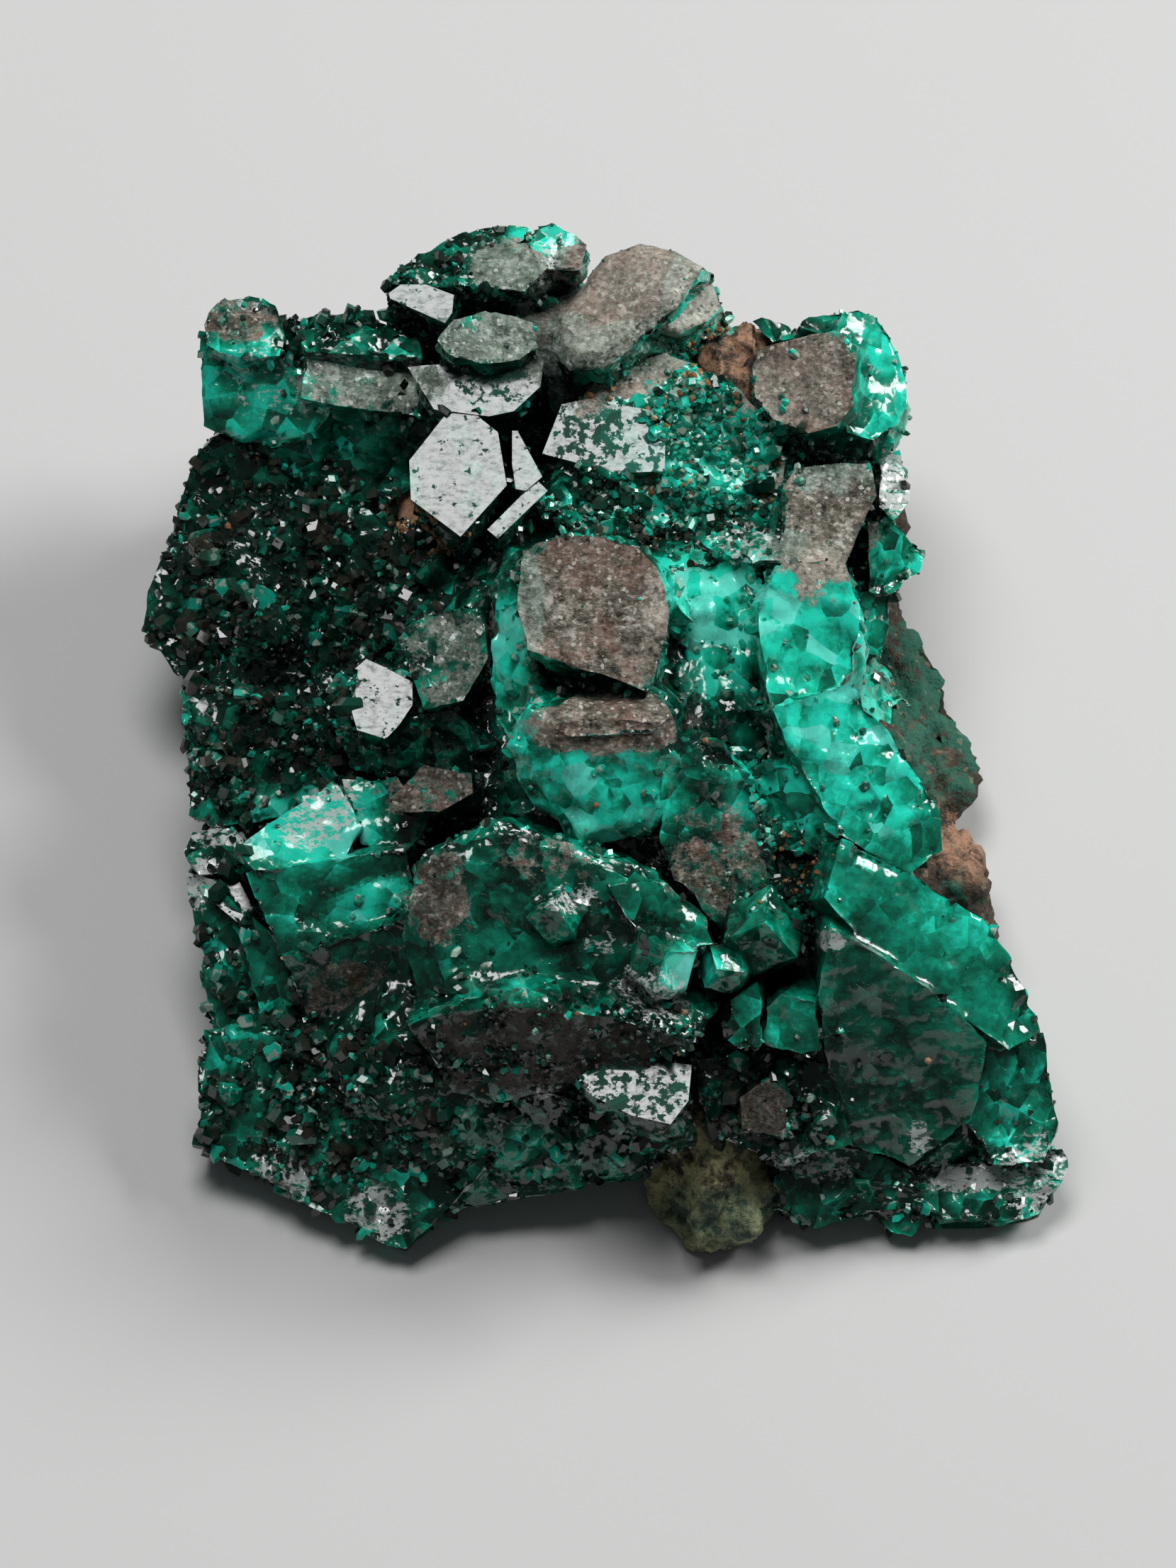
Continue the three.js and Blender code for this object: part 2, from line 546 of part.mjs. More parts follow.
// A crystal with its tip at a point, pointing along an axis and turned about it
function crystal(tip, axis, turn, width, length) {
  const aim = new THREE.Quaternion().setFromUnitVectors(new THREE.Vector3(0, 0, 1), axis);
  const spin = new THREE.Quaternion().setFromAxisAngle(new THREE.Vector3(0, 0, 1), rad(turn));
  const points = crystalPoints(width, length);
  points.forEach((point) => point.applyQuaternion(spin).applyQuaternion(aim).add(tip));
  return solidOf(new ConvexGeometry(points));
}

// An angular lump of broken crystal
function brokenLump({ middle, half, seed }) {
  const next = stream(seed);
  const points = Array.from({ length: LUMP_CORNERS }, (_, i) => {
    const z = 1 - (2 * i + 1) / LUMP_CORNERS;
    const angle = i * LUMP_TURN + LUMP_JITTER * next();
    const reach = THREE.MathUtils.lerp(...LUMP_REACH, next()) * Math.sqrt(1 - z * z);
    return new THREE.Vector3(
      middle[0] + half[0] * reach * Math.cos(angle),
      middle[1] + half[1] * reach * Math.sin(angle),
      middle[2] + half[2] * z,
    );
  });
  return solidOf(new ConvexGeometry(points));
}

// The fields of small crystals, each standing on the surface below its place on the sheet
function smallCrystals(ground) {
  const surface = new THREE.Mesh(geometryOf(ground), new THREE.MeshBasicMaterial());
  const sight = new THREE.Raycaster();
  const next = stream(41);
  const between = (low, high) => low + (high - low) * next();
  return SMALL_FIELDS.flatMap(({ middle, radii, count }) => Array.from({ length: count }, () => {
    const angle = between(0, 2 * Math.PI);
    const spread = Math.sqrt(next());
    const across = middle[0] + radii[0] * spread * Math.cos(angle);
    const down = middle[1] + radii[1] * spread * Math.sin(angle);
    const width = between(...SMALL_WIDTH);
    const stray = () => between(-SMALL_SCATTER, SMALL_SCATTER);
    const axis = facing([SMALL_LEAN + stray(), stray()]);
    const turn = between(0, 120);
    sight.set(place([across, down], TABLE_CUT), OUTWARD.clone().negate());
    const foot = sight.intersectObject(surface).map((hit) => hit.point)[0];
    if (!foot) return null;
    foot.addScaledVector(axis, SMALL_STAND * width);
    return crystal(foot, axis, turn, width, SMALL_LENGTH * width);
  })).filter(Boolean);
}

// A rounded, uneven lump of rock, grown all round by a clearance
function rockLump({ middle, half }, clearance) {
  const noise = new ImprovedNoise();
  const loose = new THREE.IcosahedronGeometry(1, ROCK_DETAIL);
  const ball = mergeVertices(loose.deleteAttribute("normal").deleteAttribute("uv"));
  const position = ball.getAttribute("position");
  const point = new THREE.Vector3();
  for (let i = 0; i < position.count; i += 1) {
    point.fromBufferAttribute(position, i);
    const sample = point.clone().multiplyScalar(ROCK_GRAIN).addScalar(middle[0]);
    const swell = 1 + ROCK_ROUGHNESS * noise.noise(sample.x, sample.y, sample.z);
    position.setXYZ(
      i,
      middle[0] + point.x * (half[0] * swell + clearance),
      middle[1] + point.y * (half[1] * swell + clearance),
      middle[2] + point.z * (half[2] * swell + clearance),
    );
  }
  return solidOf(ball);
}

// The rock's lumps as one solid, grown all round by a clearance
function rockSolid(clearance) {
  return joined(ROCK_LUMPS.map((lump) => rockLump(lump, clearance))).asOriginal().simplify(SLIVER);
}

// The crystals, all grown together, standing on the rock with a hair's clearance
function dioptaseSolid() {
  const blocks = Object.values(BLOCKS).map(faceBlock);
  const tipped = TIPPED_CRYSTALS.map(({ tip, height, lean, turn, width, length }) =>
    crystal(place(tip, height), facing(lean), turn, width, length));
  const bed = rockSolid(ROCK_GAP);
  const ground = joined([...CORE_LUMPS.map(brokenLump), ...blocks, ...tipped]).subtract(bed);
  const whole = joined([ground, ...smallCrystals(ground)]).subtract(bed).subtract(belowTable());
  const bodies = whole.asOriginal().simplify(SLIVER).decompose();
  return bodies.reduce((largest, body) => (body.volume() > largest.volume() ? body : largest));
}

const specimen = new THREE.Group();

const rock = new THREE.Mesh(
  geometryOf(rockSolid(0).subtract(belowTable())),
  new THREE.MeshStandardMaterial({ color: 0x5a4a3c, roughness: 0.9, metalness: 0 }),
);
rock.name = "host_rock";
specimen.add(rock);

const dioptase = new THREE.Mesh(
  geometryOf(dioptaseSolid()),
  new THREE.MeshStandardMaterial({ color: 0x0b5a43, roughness: 0.25, metalness: 0 }),
);
dioptase.name = "dioptase_crystals";
specimen.add(dioptase);

export default specimen;
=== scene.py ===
"""The looks of a dioptase hand specimen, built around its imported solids.

Sizes are in millimetres in the classes and in metres in the meshes. The visible side is set out on a flat sheet
that faces the viewer, by places across and down from the sheet's top left corner.
"""

from __future__ import annotations

import logging
import math
from dataclasses import dataclass
from enum import Enum

import bmesh
import bpy
import numpy as np
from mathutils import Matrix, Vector, noise
from mathutils.bvhtree import BVHTree

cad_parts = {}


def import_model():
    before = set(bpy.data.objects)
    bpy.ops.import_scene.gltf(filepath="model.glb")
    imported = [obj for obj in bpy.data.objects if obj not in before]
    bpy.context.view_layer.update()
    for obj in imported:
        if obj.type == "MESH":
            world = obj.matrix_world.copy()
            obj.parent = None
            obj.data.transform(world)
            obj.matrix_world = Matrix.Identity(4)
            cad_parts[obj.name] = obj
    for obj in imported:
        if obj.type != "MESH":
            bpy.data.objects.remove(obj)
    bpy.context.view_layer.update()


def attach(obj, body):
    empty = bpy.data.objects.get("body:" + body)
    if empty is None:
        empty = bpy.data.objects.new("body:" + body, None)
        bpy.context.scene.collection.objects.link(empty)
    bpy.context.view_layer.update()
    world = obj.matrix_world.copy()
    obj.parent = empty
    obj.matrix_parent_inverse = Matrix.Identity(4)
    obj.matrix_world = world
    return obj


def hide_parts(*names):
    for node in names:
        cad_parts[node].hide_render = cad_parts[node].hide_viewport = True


LOG = logging.getLogger("dioptase")
MM = 0.001
BODY = "root"
Colour = tuple[float, float, float]


class Slot(Enum):
    """The record's material slots."""

    DIOPTASE = "dioptase"
    ROCK = "rock"


class Exposure(Enum):
    """How open a face of a solid lies."""

    BURIED = 0
    OPEN = 1
    SEEN = 2


@dataclass(frozen=True)
class Sheet:
    """The flat sheet, facing the viewer, that the visible side is set out on."""

    centre: tuple[float, float] = (34.2, 46.4)
    elevation: float = 60.0

    @property
    def outward(self) -> Vector:
        """The direction from the specimen to the viewer."""
        angle = math.radians(self.elevation)
        return Vector((0.0, -math.cos(angle), math.sin(angle)))

    @property
    def upward(self) -> Vector:
        """The direction up the sheet."""
        angle = math.radians(self.elevation)
        return Vector((0.0, math.sin(angle), math.cos(angle)))

    def facing(self, up: float, right: float) -> Vector:
        """The direction of a face that leans away from the viewer.

        Args:
            up: Degrees that the face leans up the sheet.
            right: Degrees that the face leans to the right.

        Returns:
            The face's unit normal.
        """
        tilt, side = math.radians(up), math.radians(right)
        level = self.outward * math.cos(tilt) + self.upward * math.sin(tilt)
        return level * math.cos(side) + Vector((1.0, 0.0, 0.0)) * math.sin(side)

    def place(self, across: float, down: float, height: float) -> Vector:
        """The point at a height above the table that shows at a place on the sheet.

        Args:
            across: Millimetres from the sheet's left edge.
            down: Millimetres from the sheet's top edge.
            height: Millimetres above the table.

        Returns:
            The point, in metres.
        """
        angle = math.radians(self.elevation)
        rise = (self.centre[1] - down) / math.sin(angle)
        return Vector((across - self.centre[0], rise - height / math.tan(angle), height)) * MM

    def spots(self, points: np.ndarray) -> np.ndarray:
        """Where points show on the sheet.

        Args:
            points: Rows of x, y and z, in metres.

        Returns:
            Rows of millimetres across and down.
        """
        across = points[:, 0] / MM + self.centre[0]
        down = self.centre[1] - points @ np.array(self.upward) / MM
        return np.stack([across, down], axis=1)


@dataclass(frozen=True)
class Patch:
    """A rounded patch of the visible side, on faces of one lean only where a lean is given."""

    middle: tuple[float, float]
    radii: tuple[float, float]
    strength: float = 1.0
    turn: float = 0.0
    lean: tuple[float, float] | None = None
    edge: float = 0.5
    spread: float = 14.0

    def weights(self, sheet: Sheet, spots: np.ndarray, normals: np.ndarray) -> np.ndarray:
        """How strongly the patch covers each spot.

        Args:
            sheet: The sheet that the patch is placed on.
            spots: Rows of millimetres across and down.
            normals: The surface's direction at each spot.

        Returns:
            A weight for each spot, from 0 to the patch's strength.
        """
        turned = math.radians(self.turn)
        offset = spots - np.array(self.middle)
        along = offset[:, 0] * math.cos(turned) + offset[:, 1] * math.sin(turned)
        beside = offset[:, 1] * math.cos(turned) - offset[:, 0] * math.sin(turned)
        reach = np.hypot(along / self.radii[0], beside / self.radii[1])
        weight = self.strength * np.clip((1.0 + self.edge / 2 - reach) / self.edge, 0.0, 1.0)
        if self.lean is not None:
            aim = np.array(sheet.facing(*self.lean))
            weight = weight * (normals @ aim > math.cos(math.radians(self.spread)))
        return weight


def painted(sheet: Sheet, patches: tuple[Patch, ...], spots: np.ndarray, normals: np.ndarray) -> np.ndarray:
    """The strongest of several patches at each spot that faces the viewer.

    Args:
        sheet: The sheet that the patches are placed on.
        patches: The patches.
        spots: Rows of millimetres across and down.
        normals: The surface's direction at each spot.

    Returns:
        A weight for each spot.
    """
    total = np.zeros(len(spots))
    for patch in patches:
        total = np.maximum(total, patch.weights(sheet, spots, normals))
    return total * (normals @ np.array(sheet.outward) > 0.0)


class Socket:
    """A node's output that takes part in Python expressions."""

    def __init__(self, book: NodeBook, output: bpy.types.NodeSocket) -> None:
        """Wraps an output of a node in a book."""
        self.book = book
        self.output = output

    def __add__(self, other: Socket | float) -> Socket:
        """Adds a number or an output."""
        return self.book.maths("ADD", self, other)

    __radd__ = __add__

    def __sub__(self, other: Socket | float) -> Socket:
        """Takes away a number or an output."""
        return self.book.maths("SUBTRACT", self, other)

    def __rsub__(self, other: float) -> Socket:
        """Takes this output away from a number."""
        return self.book.maths("SUBTRACT", other, self)

    def __mul__(self, other: Socket | float) -> Socket:
        """Multiplies by a number or an output."""
        return self.book.maths("MULTIPLY", self, other)

    __rmul__ = __mul__

    def step(self, low: float, high: float) -> Socket:
        """A smooth rise from 0 at low to 1 at high."""
        return self.book.node(
            "ShaderNodeMapRange",
            {"interpolation_type": "SMOOTHSTEP"},
            {"Value": self, "From Min": low, "From Max": high},
        )


class NodeBook:
    """A material whose nodes are written as expressions."""

    def __init__(self, name: str) -> None:
        """Starts an empty material."""
        self.material = bpy.data.materials.new(name)
        self.material.use_nodes = True
        self.material.node_tree.nodes.clear()
        coordinates = self.node("ShaderNodeTexCoord", output="Object")
        self.place = self.node(
            "ShaderNodeVectorMath", {"operation": "SCALE"}, {0: coordinates, "Scale": 1.0 / MM}
        )

    def node(
        self,
        kind: str,
        settings: dict[str, object] | None = None,
        inputs: dict[str | int, object] | None = None,
        output: str | int = 0,
    ) -> Socket:
        """Adds one node.

        Args:
            kind: The node's type.
            settings: The node's own settings, and a ramp's stops as places and colours.
            inputs: Values or outputs for its sockets, by name or number.
            output: The output to use.

        Returns:
            The output.
        """
        tree = self.material.node_tree
        made = tree.nodes.new(kind)
        for key, value in (settings or {}).items():
            if key == "stops":
                self._set_stops(made.color_ramp, value)
            else:
                setattr(made, key, value)
        for key, value in (inputs or {}).items():
            if isinstance(value, Socket):
                tree.links.new(value.output, made.inputs[key])
            else:
                made.inputs[key].default_value = value
        return Socket(self, made.outputs[output])

    @staticmethod
    def _set_stops(ramp: bpy.types.ColorRamp, stops: list[tuple[float, Colour]]) -> None:
        """Gives a ramp its stops."""
        while len(ramp.elements) < len(stops):
            ramp.elements.new(1.0)
        for element, (place, colour) in zip(ramp.elements, stops):
            element.position = place
            element.color = (*colour, 1.0)

    def maths(self, operation: str, first: Socket | float, second: Socket | float) -> Socket:
        """A Math node on two values."""
        return self.node("ShaderNodeMath", {"operation": operation}, {0: first, 1: second})

    def attribute(self, name: str) -> Socket:
        """A value stored on the mesh."""
        return self.node("ShaderNodeAttribute", {"attribute_name": name}, output="Fac")

    def noise(self, size: float, detail: float = 3.0, roughness: float = 0.55, drawn: float = 1.0) -> Socket:
        """Soft noise with features of a size in millimetres.

        Args:
            size: The features' size across.
            detail: How many finer layers it has.
            roughness: How strong the finer layers are.
            drawn: How many times longer than wide the features are.

        Returns:
            The noise, from 0 to 1.
        """
        where = self.place
        if drawn != 1.0:
            stretch = {"Vector": where, "Rotation": (0.5, 0.3, 0.45), "Scale": (1.0 / drawn, 1.0, 1.0)}
            where = self.node("ShaderNodeMapping", inputs=stretch)
        return self.node(
            "ShaderNodeTexNoise",
            inputs={"Vector": where, "Scale": 1.0 / size, "Detail": detail, "Roughness": roughness},
        )

    def cells(self, size: float, output: str = "Color") -> Socket:
        """Angular cells of a size in millimetres: each cell's own random value, or the distance to its middle."""
        found = self.node("ShaderNodeTexVoronoi", inputs={"Vector": self.place, "Scale": 1.0 / size}, output=output)
        if output == "Distance":
            return found
        return self.node("ShaderNodeSeparateColor", inputs={"Color": found}, output="Red")

    def facets(self, size: float) -> Socket:
        """Flat facets of a size in millimetres, each tilted its own way, as a height in millimetres."""
        middle = self.node(
            "ShaderNodeTexVoronoi", inputs={"Vector": self.place, "Scale": 1.0 / size}, output="Position"
        )
        random = Socket(self, middle.output.node.outputs["Color"])
        tilt = self.node("ShaderNodeVectorMath", {"operation": "SUBTRACT"}, {0: random, 1: (0.5, 0.5, 0.5)})
        offset = self.node("ShaderNodeVectorMath", {"operation": "SUBTRACT"}, {0: self.place, 1: middle})
        return self.node("ShaderNodeVectorMath", {"operation": "DOT_PRODUCT"}, {0: tilt, 1: offset}, "Value")

    def cracks(self, size: float) -> Socket:
        """The distance to the nearest crack between cells of a size in millimetres, in cell sizes."""
        return self.node(
            "ShaderNodeTexVoronoi",
            {"feature": "DISTANCE_TO_EDGE"},
            {"Vector": self.place, "Scale": 1.0 / size},
            "Distance",
        )

    def ramp(self, value: Socket, stops: list[tuple[float, Colour]]) -> Socket:
        """A colour for each value."""
        return self.node("ShaderNodeValToRGB", {"stops": stops}, {"Fac": value}, "Color")

    def blend(self, factor: Socket, first: Socket | Colour, second: Socket | Colour) -> Socket:
        """A mix of two colours."""
        colours = [c if isinstance(c, Socket) else (*c, 1.0) for c in (first, second)]
        return self.node(
            "ShaderNodeMix", {"data_type": "RGBA"}, {0: factor, 6: colours[0], 7: colours[1]}, output=2
        )

    def bump(self, height: Socket, depth: float, below: Socket | None = None) -> Socket:
        """A bumped normal.

        Args:
            height: The height, from 0 to 1.
            depth: What a height of 1 stands for, in millimetres.
            below: A normal that this one adds to.

        Returns:
            The normal.
        """
        inputs: dict[str | int, object] = {"Height": height, "Distance": depth * MM, "Strength": 1.0}
        if below is not None:
            inputs["Normal"] = below
        return self.node("ShaderNodeBump", inputs=inputs)

    def principled(self, **sockets: object) -> Socket:
        """A surface shader.

        Args:
            **sockets: The surface's values, with a socket's spaces written as underscores.

        Returns:
            The shader.
        """
        inputs = {name.replace("_", " "): value for name, value in sockets.items()}
        return self.node("ShaderNodeBsdfPrincipled", inputs=inputs, output="BSDF")

    def closed(self, shader: Socket) -> bpy.types.Material:
        """Closes the book with its surface."""
        end = self.material.node_tree.nodes.new("ShaderNodeOutputMaterial")
        self.material.node_tree.links.new(shader.output, end.inputs["Surface"])
        return self.material


@dataclass(frozen=True)
class DioptaseFinish:
    """Glassy dark emerald, brown where another mineral lay against it, with painted light where it is thin or
    broken, painted glints and reflections, and painted shade in crevices and on shaded parts.
    """

    # painted shade: near-black laid into crevices, by how closed in each point is
    crevice_shade: Colour = (0.003, 0.013, 0.0105)
    depth_green: Colour = (0.0014, 0.024, 0.0145)
    body_green: Colour = (0.002, 0.115, 0.067)
    clear_green: Colour = (0.004, 0.33, 0.2)
    teal: Colour = (0.02, 0.84, 0.6)
    # painted glint: bright cyan standing in for light flashing inside the crystal
    glint_cyan: Colour = (0.2, 1.0, 0.84)
    skin_brown: Colour = (0.145, 0.125, 0.094)
    skin_red: Colour = (0.22, 0.11, 0.08)
    skin_grey: Colour = (0.56, 0.53, 0.46)
    # painted light: the crust made paler where light is painted on the crystal
    lit_skin: Colour = (0.62, 0.55, 0.47)
    skin_fleck: Colour = (0.78, 0.78, 0.7)
    skin_dark: Colour = (0.022, 0.017, 0.012)
    skin_rim: Colour = (0.22, 0.26, 0.225)
    sage_dark: Colour = (0.045, 0.07, 0.05)
    sage: Colour = (0.17, 0.22, 0.175)
    sage_pale: Colour = (0.48, 0.54, 0.48)
    # painted reflection: light grey standing in for lamp reflections
    painted_reflection: Colour = (0.8, 0.84, 0.81)
    index: float = 1.66
    clearness: float = 0.15

    def material(self) -> bpy.types.Material:
        """The finish as a material."""
        book = NodeBook("dioptase_crystal")
        # painted_light is painted light where thin or broken crystal shows bright, and below zero painted shade
        painted_light, skin, mirror = (book.attribute(name) for name in ("painted_light", "skin", "mirror"))
        edge, closed = book.attribute("relief"), book.attribute("shelter")
        calm = book.attribute("calm")
        wedge, shards, splinters = book.facets(1.5), book.cells(1.5), book.cells(0.36)
        lively = 1.0 - calm * 0.75
        # The tone is partly painted: the painted light, a painted light-to-shade slope across each shard (wedge),
        # painted light on standing edges (relief) and painted shade in crevices (shelter); the noise and cell terms
        # are random tone.
        tone = painted_light * 0.52 + (book.noise(2.8, 4.0, 0.65) - 0.5) * 0.75
        tone = tone + (wedge * 0.8 + (shards - 0.5) * 0.26) * lively + (splinters - 0.5) * 0.15
        tone = tone + edge * 0.16 - closed * 0.24 + 0.3
        lines = book.noise(0.3, 2.0, 0.6, 5.0)
        tone = tone + (lines - 0.5) * calm * 0.3
        crack = 1.0 - book.cracks(1.5).step(0.015, 0.06)
        veined = book.noise(1.3)
        tone = tone + crack * veined.step(0.48, 0.62) * 0.22 * lively
        # The greens run from the emerald in shade to the emerald lit through thin crystal, so this ramp turns
        # painted light and shade into colour as well as random tone.
        green = book.ramp(
            tone,
            [(0.05, self.depth_green), (0.34, self.body_green), (0.66, self.clear_green), (0.98, self.teal)],
        )
        # painted glints: small teal flashes in some splinters
        green = book.blend(splinters.step(0.93, 0.97) * veined.step(0.45, 0.7) * 0.5, green, self.teal)
        # painted glints: bright cyan spots where the painted light is strongest
        glint_spots = (painted_light + (shards - 0.5) * 1.4).step(1.5, 1.9)
        green = book.blend(glint_spots * 0.75, green, self.glint_cyan)
        pits = (book.noise(0.6, 4.0, 0.65) + book.attribute("holes") * 0.14).step(0.6, 0.66) * mirror
        green = book.blend(mirror * 0.85, green, self.depth_green)
        green = book.blend(pits * 0.35, green, self.body_green)
        streak = book.noise(0.3, 4.0, 0.72, 1.8)
        bright = book.attribute("painted_reflection")
        # painted reflection: light grey streaks where the reflection patches lie
        sheen = (bright * 0.64 + (streak - 0.5) * 2.6).step(0.36, 0.6) * bright.step(0.02, 0.3)
        green = book.blend(sheen * 0.85, green, self.painted_reflection)
        # painted shade: crevices darkened towards near-black
        green = book.blend(closed.step(0.4, 0.95), green, self.crevice_shade)
        rough = 0.1 + veined * 0.12 + mirror * (streak - 0.44) + pits * 0.85
        bare = (1.0 - mirror) * (1.0 - calm * 0.75) * (1.0 - painted_light.step(0.2, 1.4) * 0.5)
        broken = book.bump(wedge * bare, 0.5)
        shatter = book.bump(book.facets(0.45) * bare, 0.5, broken)
        glass = book.principled(
            Base_Color=green,
            Roughness=rough,
            IOR=self.index,
            Transmission_Weight=self.clearness,
            Normal=shatter,
        )
        blotch = book.noise(1.2, 4.0, 0.7)
        crust_with_light_and_shade = book.ramp(
            streak * 0.6 + blotch * 0.6,
            [(0.46, self.skin_dark), (0.6, self.skin_brown), (0.78, self.skin_grey)],
        )
        crust_with_light_and_shade = book.blend(book.noise(2.4, 3.0).step(0.46, 0.62) * 0.45, crust_with_light_and_shade, self.skin_red)
        weathered = book.ramp(
            streak * 0.6 + blotch * 0.6,
            [(0.44, self.sage_dark), (0.58, self.sage), (0.78, self.sage_pale)],
        )
        weathering = (book.attribute("sage") + (veined - 0.5) * 0.9).step(0.35, 0.65)
        crust_with_light_and_shade = book.blend(weathering, crust_with_light_and_shade, weathered)
        # painted light: the crust paler where light is painted
        crust_with_light_and_shade = book.blend(painted_light.step(0.4, 1.4) * 0.55, crust_with_light_and_shade, self.lit_skin)
        flecks = book.cells(0.2)
        crust_with_light_and_shade = book.blend(flecks.step(0.92, 0.95) * 0.6, crust_with_light_and_shade, self.skin_fleck)
        crust_with_light_and_shade = book.blend((1.0 - flecks).step(0.9, 0.94) * 0.6, crust_with_light_and_shade, self.sage_dark)
        # painted shade: the crust darkened where shade is painted
        painted_shade = (painted_light * -1.0).step(0.05, 0.5)
        crust_with_light_and_shade = book.blend(painted_shade * 0.92, crust_with_light_and_shade, self.skin_dark)
        cover = (skin + (book.noise(1.3, 4.0, 0.75) - 0.5) * 1.9).step(0.34, 0.6)
        crust_with_light_and_shade = book.blend((1.0 - cover).step(0.05, 0.5) * (1.0 - painted_shade), crust_with_light_and_shade, self.skin_rim)
        # the crust gets the same painted shade in crevices
        crust = book.principled(
            Base_Color=book.blend(closed.step(0.4, 0.95), crust_with_light_and_shade, self.crevice_shade),
            Roughness=0.42,
            Specular_IOR_Level=0.3,
            Normal=book.bump(book.facets(0.2), 0.7, book.bump(streak, 0.12)),
        )
        return book.closed(book.node("ShaderNodeMixShader", inputs={0: cover, 1: glass, 2: crust}))


@dataclass(frozen=True)
class DruseFinish:
    """Small clear crystals, each with a tone of its own that partly follows the painted light and shade beneath it,
    some with painted pale glints.
    """

    dark: Colour = (0.001, 0.013, 0.008)
    green: Colour = (0.003, 0.12, 0.07)
    teal: Colour = (0.015, 0.66, 0.46)
    dust: Colour = (0.05, 0.042, 0.032)
    # painted glint: pale crystals standing in for sparkles of lamp light
    pale: Colour = (0.58, 0.66, 0.56)
    index: float = 1.66
    clearness: float = 0.3

    def material(self) -> bpy.types.Material:
        """The finish as a material."""
        book = NodeBook("dioptase_druse")
        # the tone runs from dark to teal; it is partly random and partly painted light and shade taken from the face
        # below
        colour = book.ramp(
            book.attribute("tone") + (book.noise(0.5) - 0.5) * 0.15 + (book.noise(3.4) - 0.47) * 0.5,
            [(0.0, self.dark), (0.45, self.green), (0.97, self.teal)],
        )
        lit = book.attribute("tone").step(0.25, 0.7)
        dusty = book.noise(1.6, 4.0, 0.65).step(0.46, 0.6) * (1.0 - lit)
        colour = book.blend(dusty * 0.8, colour, self.dust)
        # painted glints: some lit crystals turned pale
        colour = book.blend(book.cells(0.34).step(0.76, 0.82) * lit * 0.8, colour, self.pale)
        surface = book.principled(
            Base_Color=colour,
            Roughness=0.1 + book.noise(0.3) * 0.14,
            IOR=self.index,
            Transmission_Weight=self.clearness,
        )
        return book.closed(surface)


@dataclass(frozen=True)
class RockFinish:
    """Dull brown host rock, olive at the foot and coppery on the right edge."""

    umber: Colour = (0.012, 0.01, 0.007)
    brown: Colour = (0.07, 0.046, 0.028)
    olive: Colour = (0.42, 0.4, 0.2)
    copper: Colour = (0.5, 0.27, 0.16)
    pale: Colour = (0.3, 0.235, 0.15)
    stain: Colour = (0.01, 0.15, 0.095)

    def material(self) -> bpy.types.Material:
        """The finish as a material."""
        book = NodeBook("host_rock_stone")
        olive, copper = book.attribute("olive"), book.attribute("copper")
        coarse, grain = book.noise(1.8, 5.0, 0.65), book.noise(0.35, 4.0, 0.7)
        stone = book.ramp(coarse * 0.7 + grain * 0.35, [(0.36, self.umber), (0.56, self.brown), (0.82, self.pale)])
        blotchy = (coarse + grain * 0.5 - 0.3).step(0.3, 0.56)
        stone = book.blend(olive * blotchy, stone, self.olive)
        stone = book.blend(copper * blotchy, stone, self.copper)
        spread = book.noise(1.6, 5.0, 0.65) + book.attribute("verdigris") * 0.2
        stone = book.blend(spread.step(0.56, 0.7) * (1.0 - copper) * (1.0 - olive * 0.6) * 0.85, stone, self.stain)
        stone = book.blend(book.cells(0.3).step(0.95, 0.98) * coarse * (1.0 - olive), stone, self.pale)
        surface = book.principled(
            Base_Color=stone,
            Roughness=0.55 + grain * 0.35,
            Normal=book.bump(book.facets(0.5), 0.4, book.bump(grain, 0.3)),
        )
        return book.closed(surface)


@dataclass(frozen=True)
class CrumbFinish:
    """Tan and rusty grains lodged in the crevices."""

    rust: Colour = (0.24, 0.1, 0.035)
    tan: Colour = (0.46, 0.32, 0.19)

    def material(self) -> bpy.types.Material:
        """The finish as a material."""
        book = NodeBook("crevice_crumbs")
        colour = book.ramp(book.attribute("tone") + book.noise(0.3) * 0.3, [(0.2, self.rust), (1.0, self.tan)])
        return book.closed(book.principled(Base_Color=colour, Roughness=0.8))


@dataclass(frozen=True)
class FloorFinish:
    """A plain pale studio floor."""

    pale: Colour = (0.64, 0.64, 0.63)

    def material(self) -> bpy.types.Material:
        """The finish as a material."""
        book = NodeBook("studio_floor")
        shade = book.blend(book.noise(90.0), self.pale, tuple(0.96 * c for c in self.pale))
        return book.closed(book.principled(Base_Color=shade, Roughness=0.75))


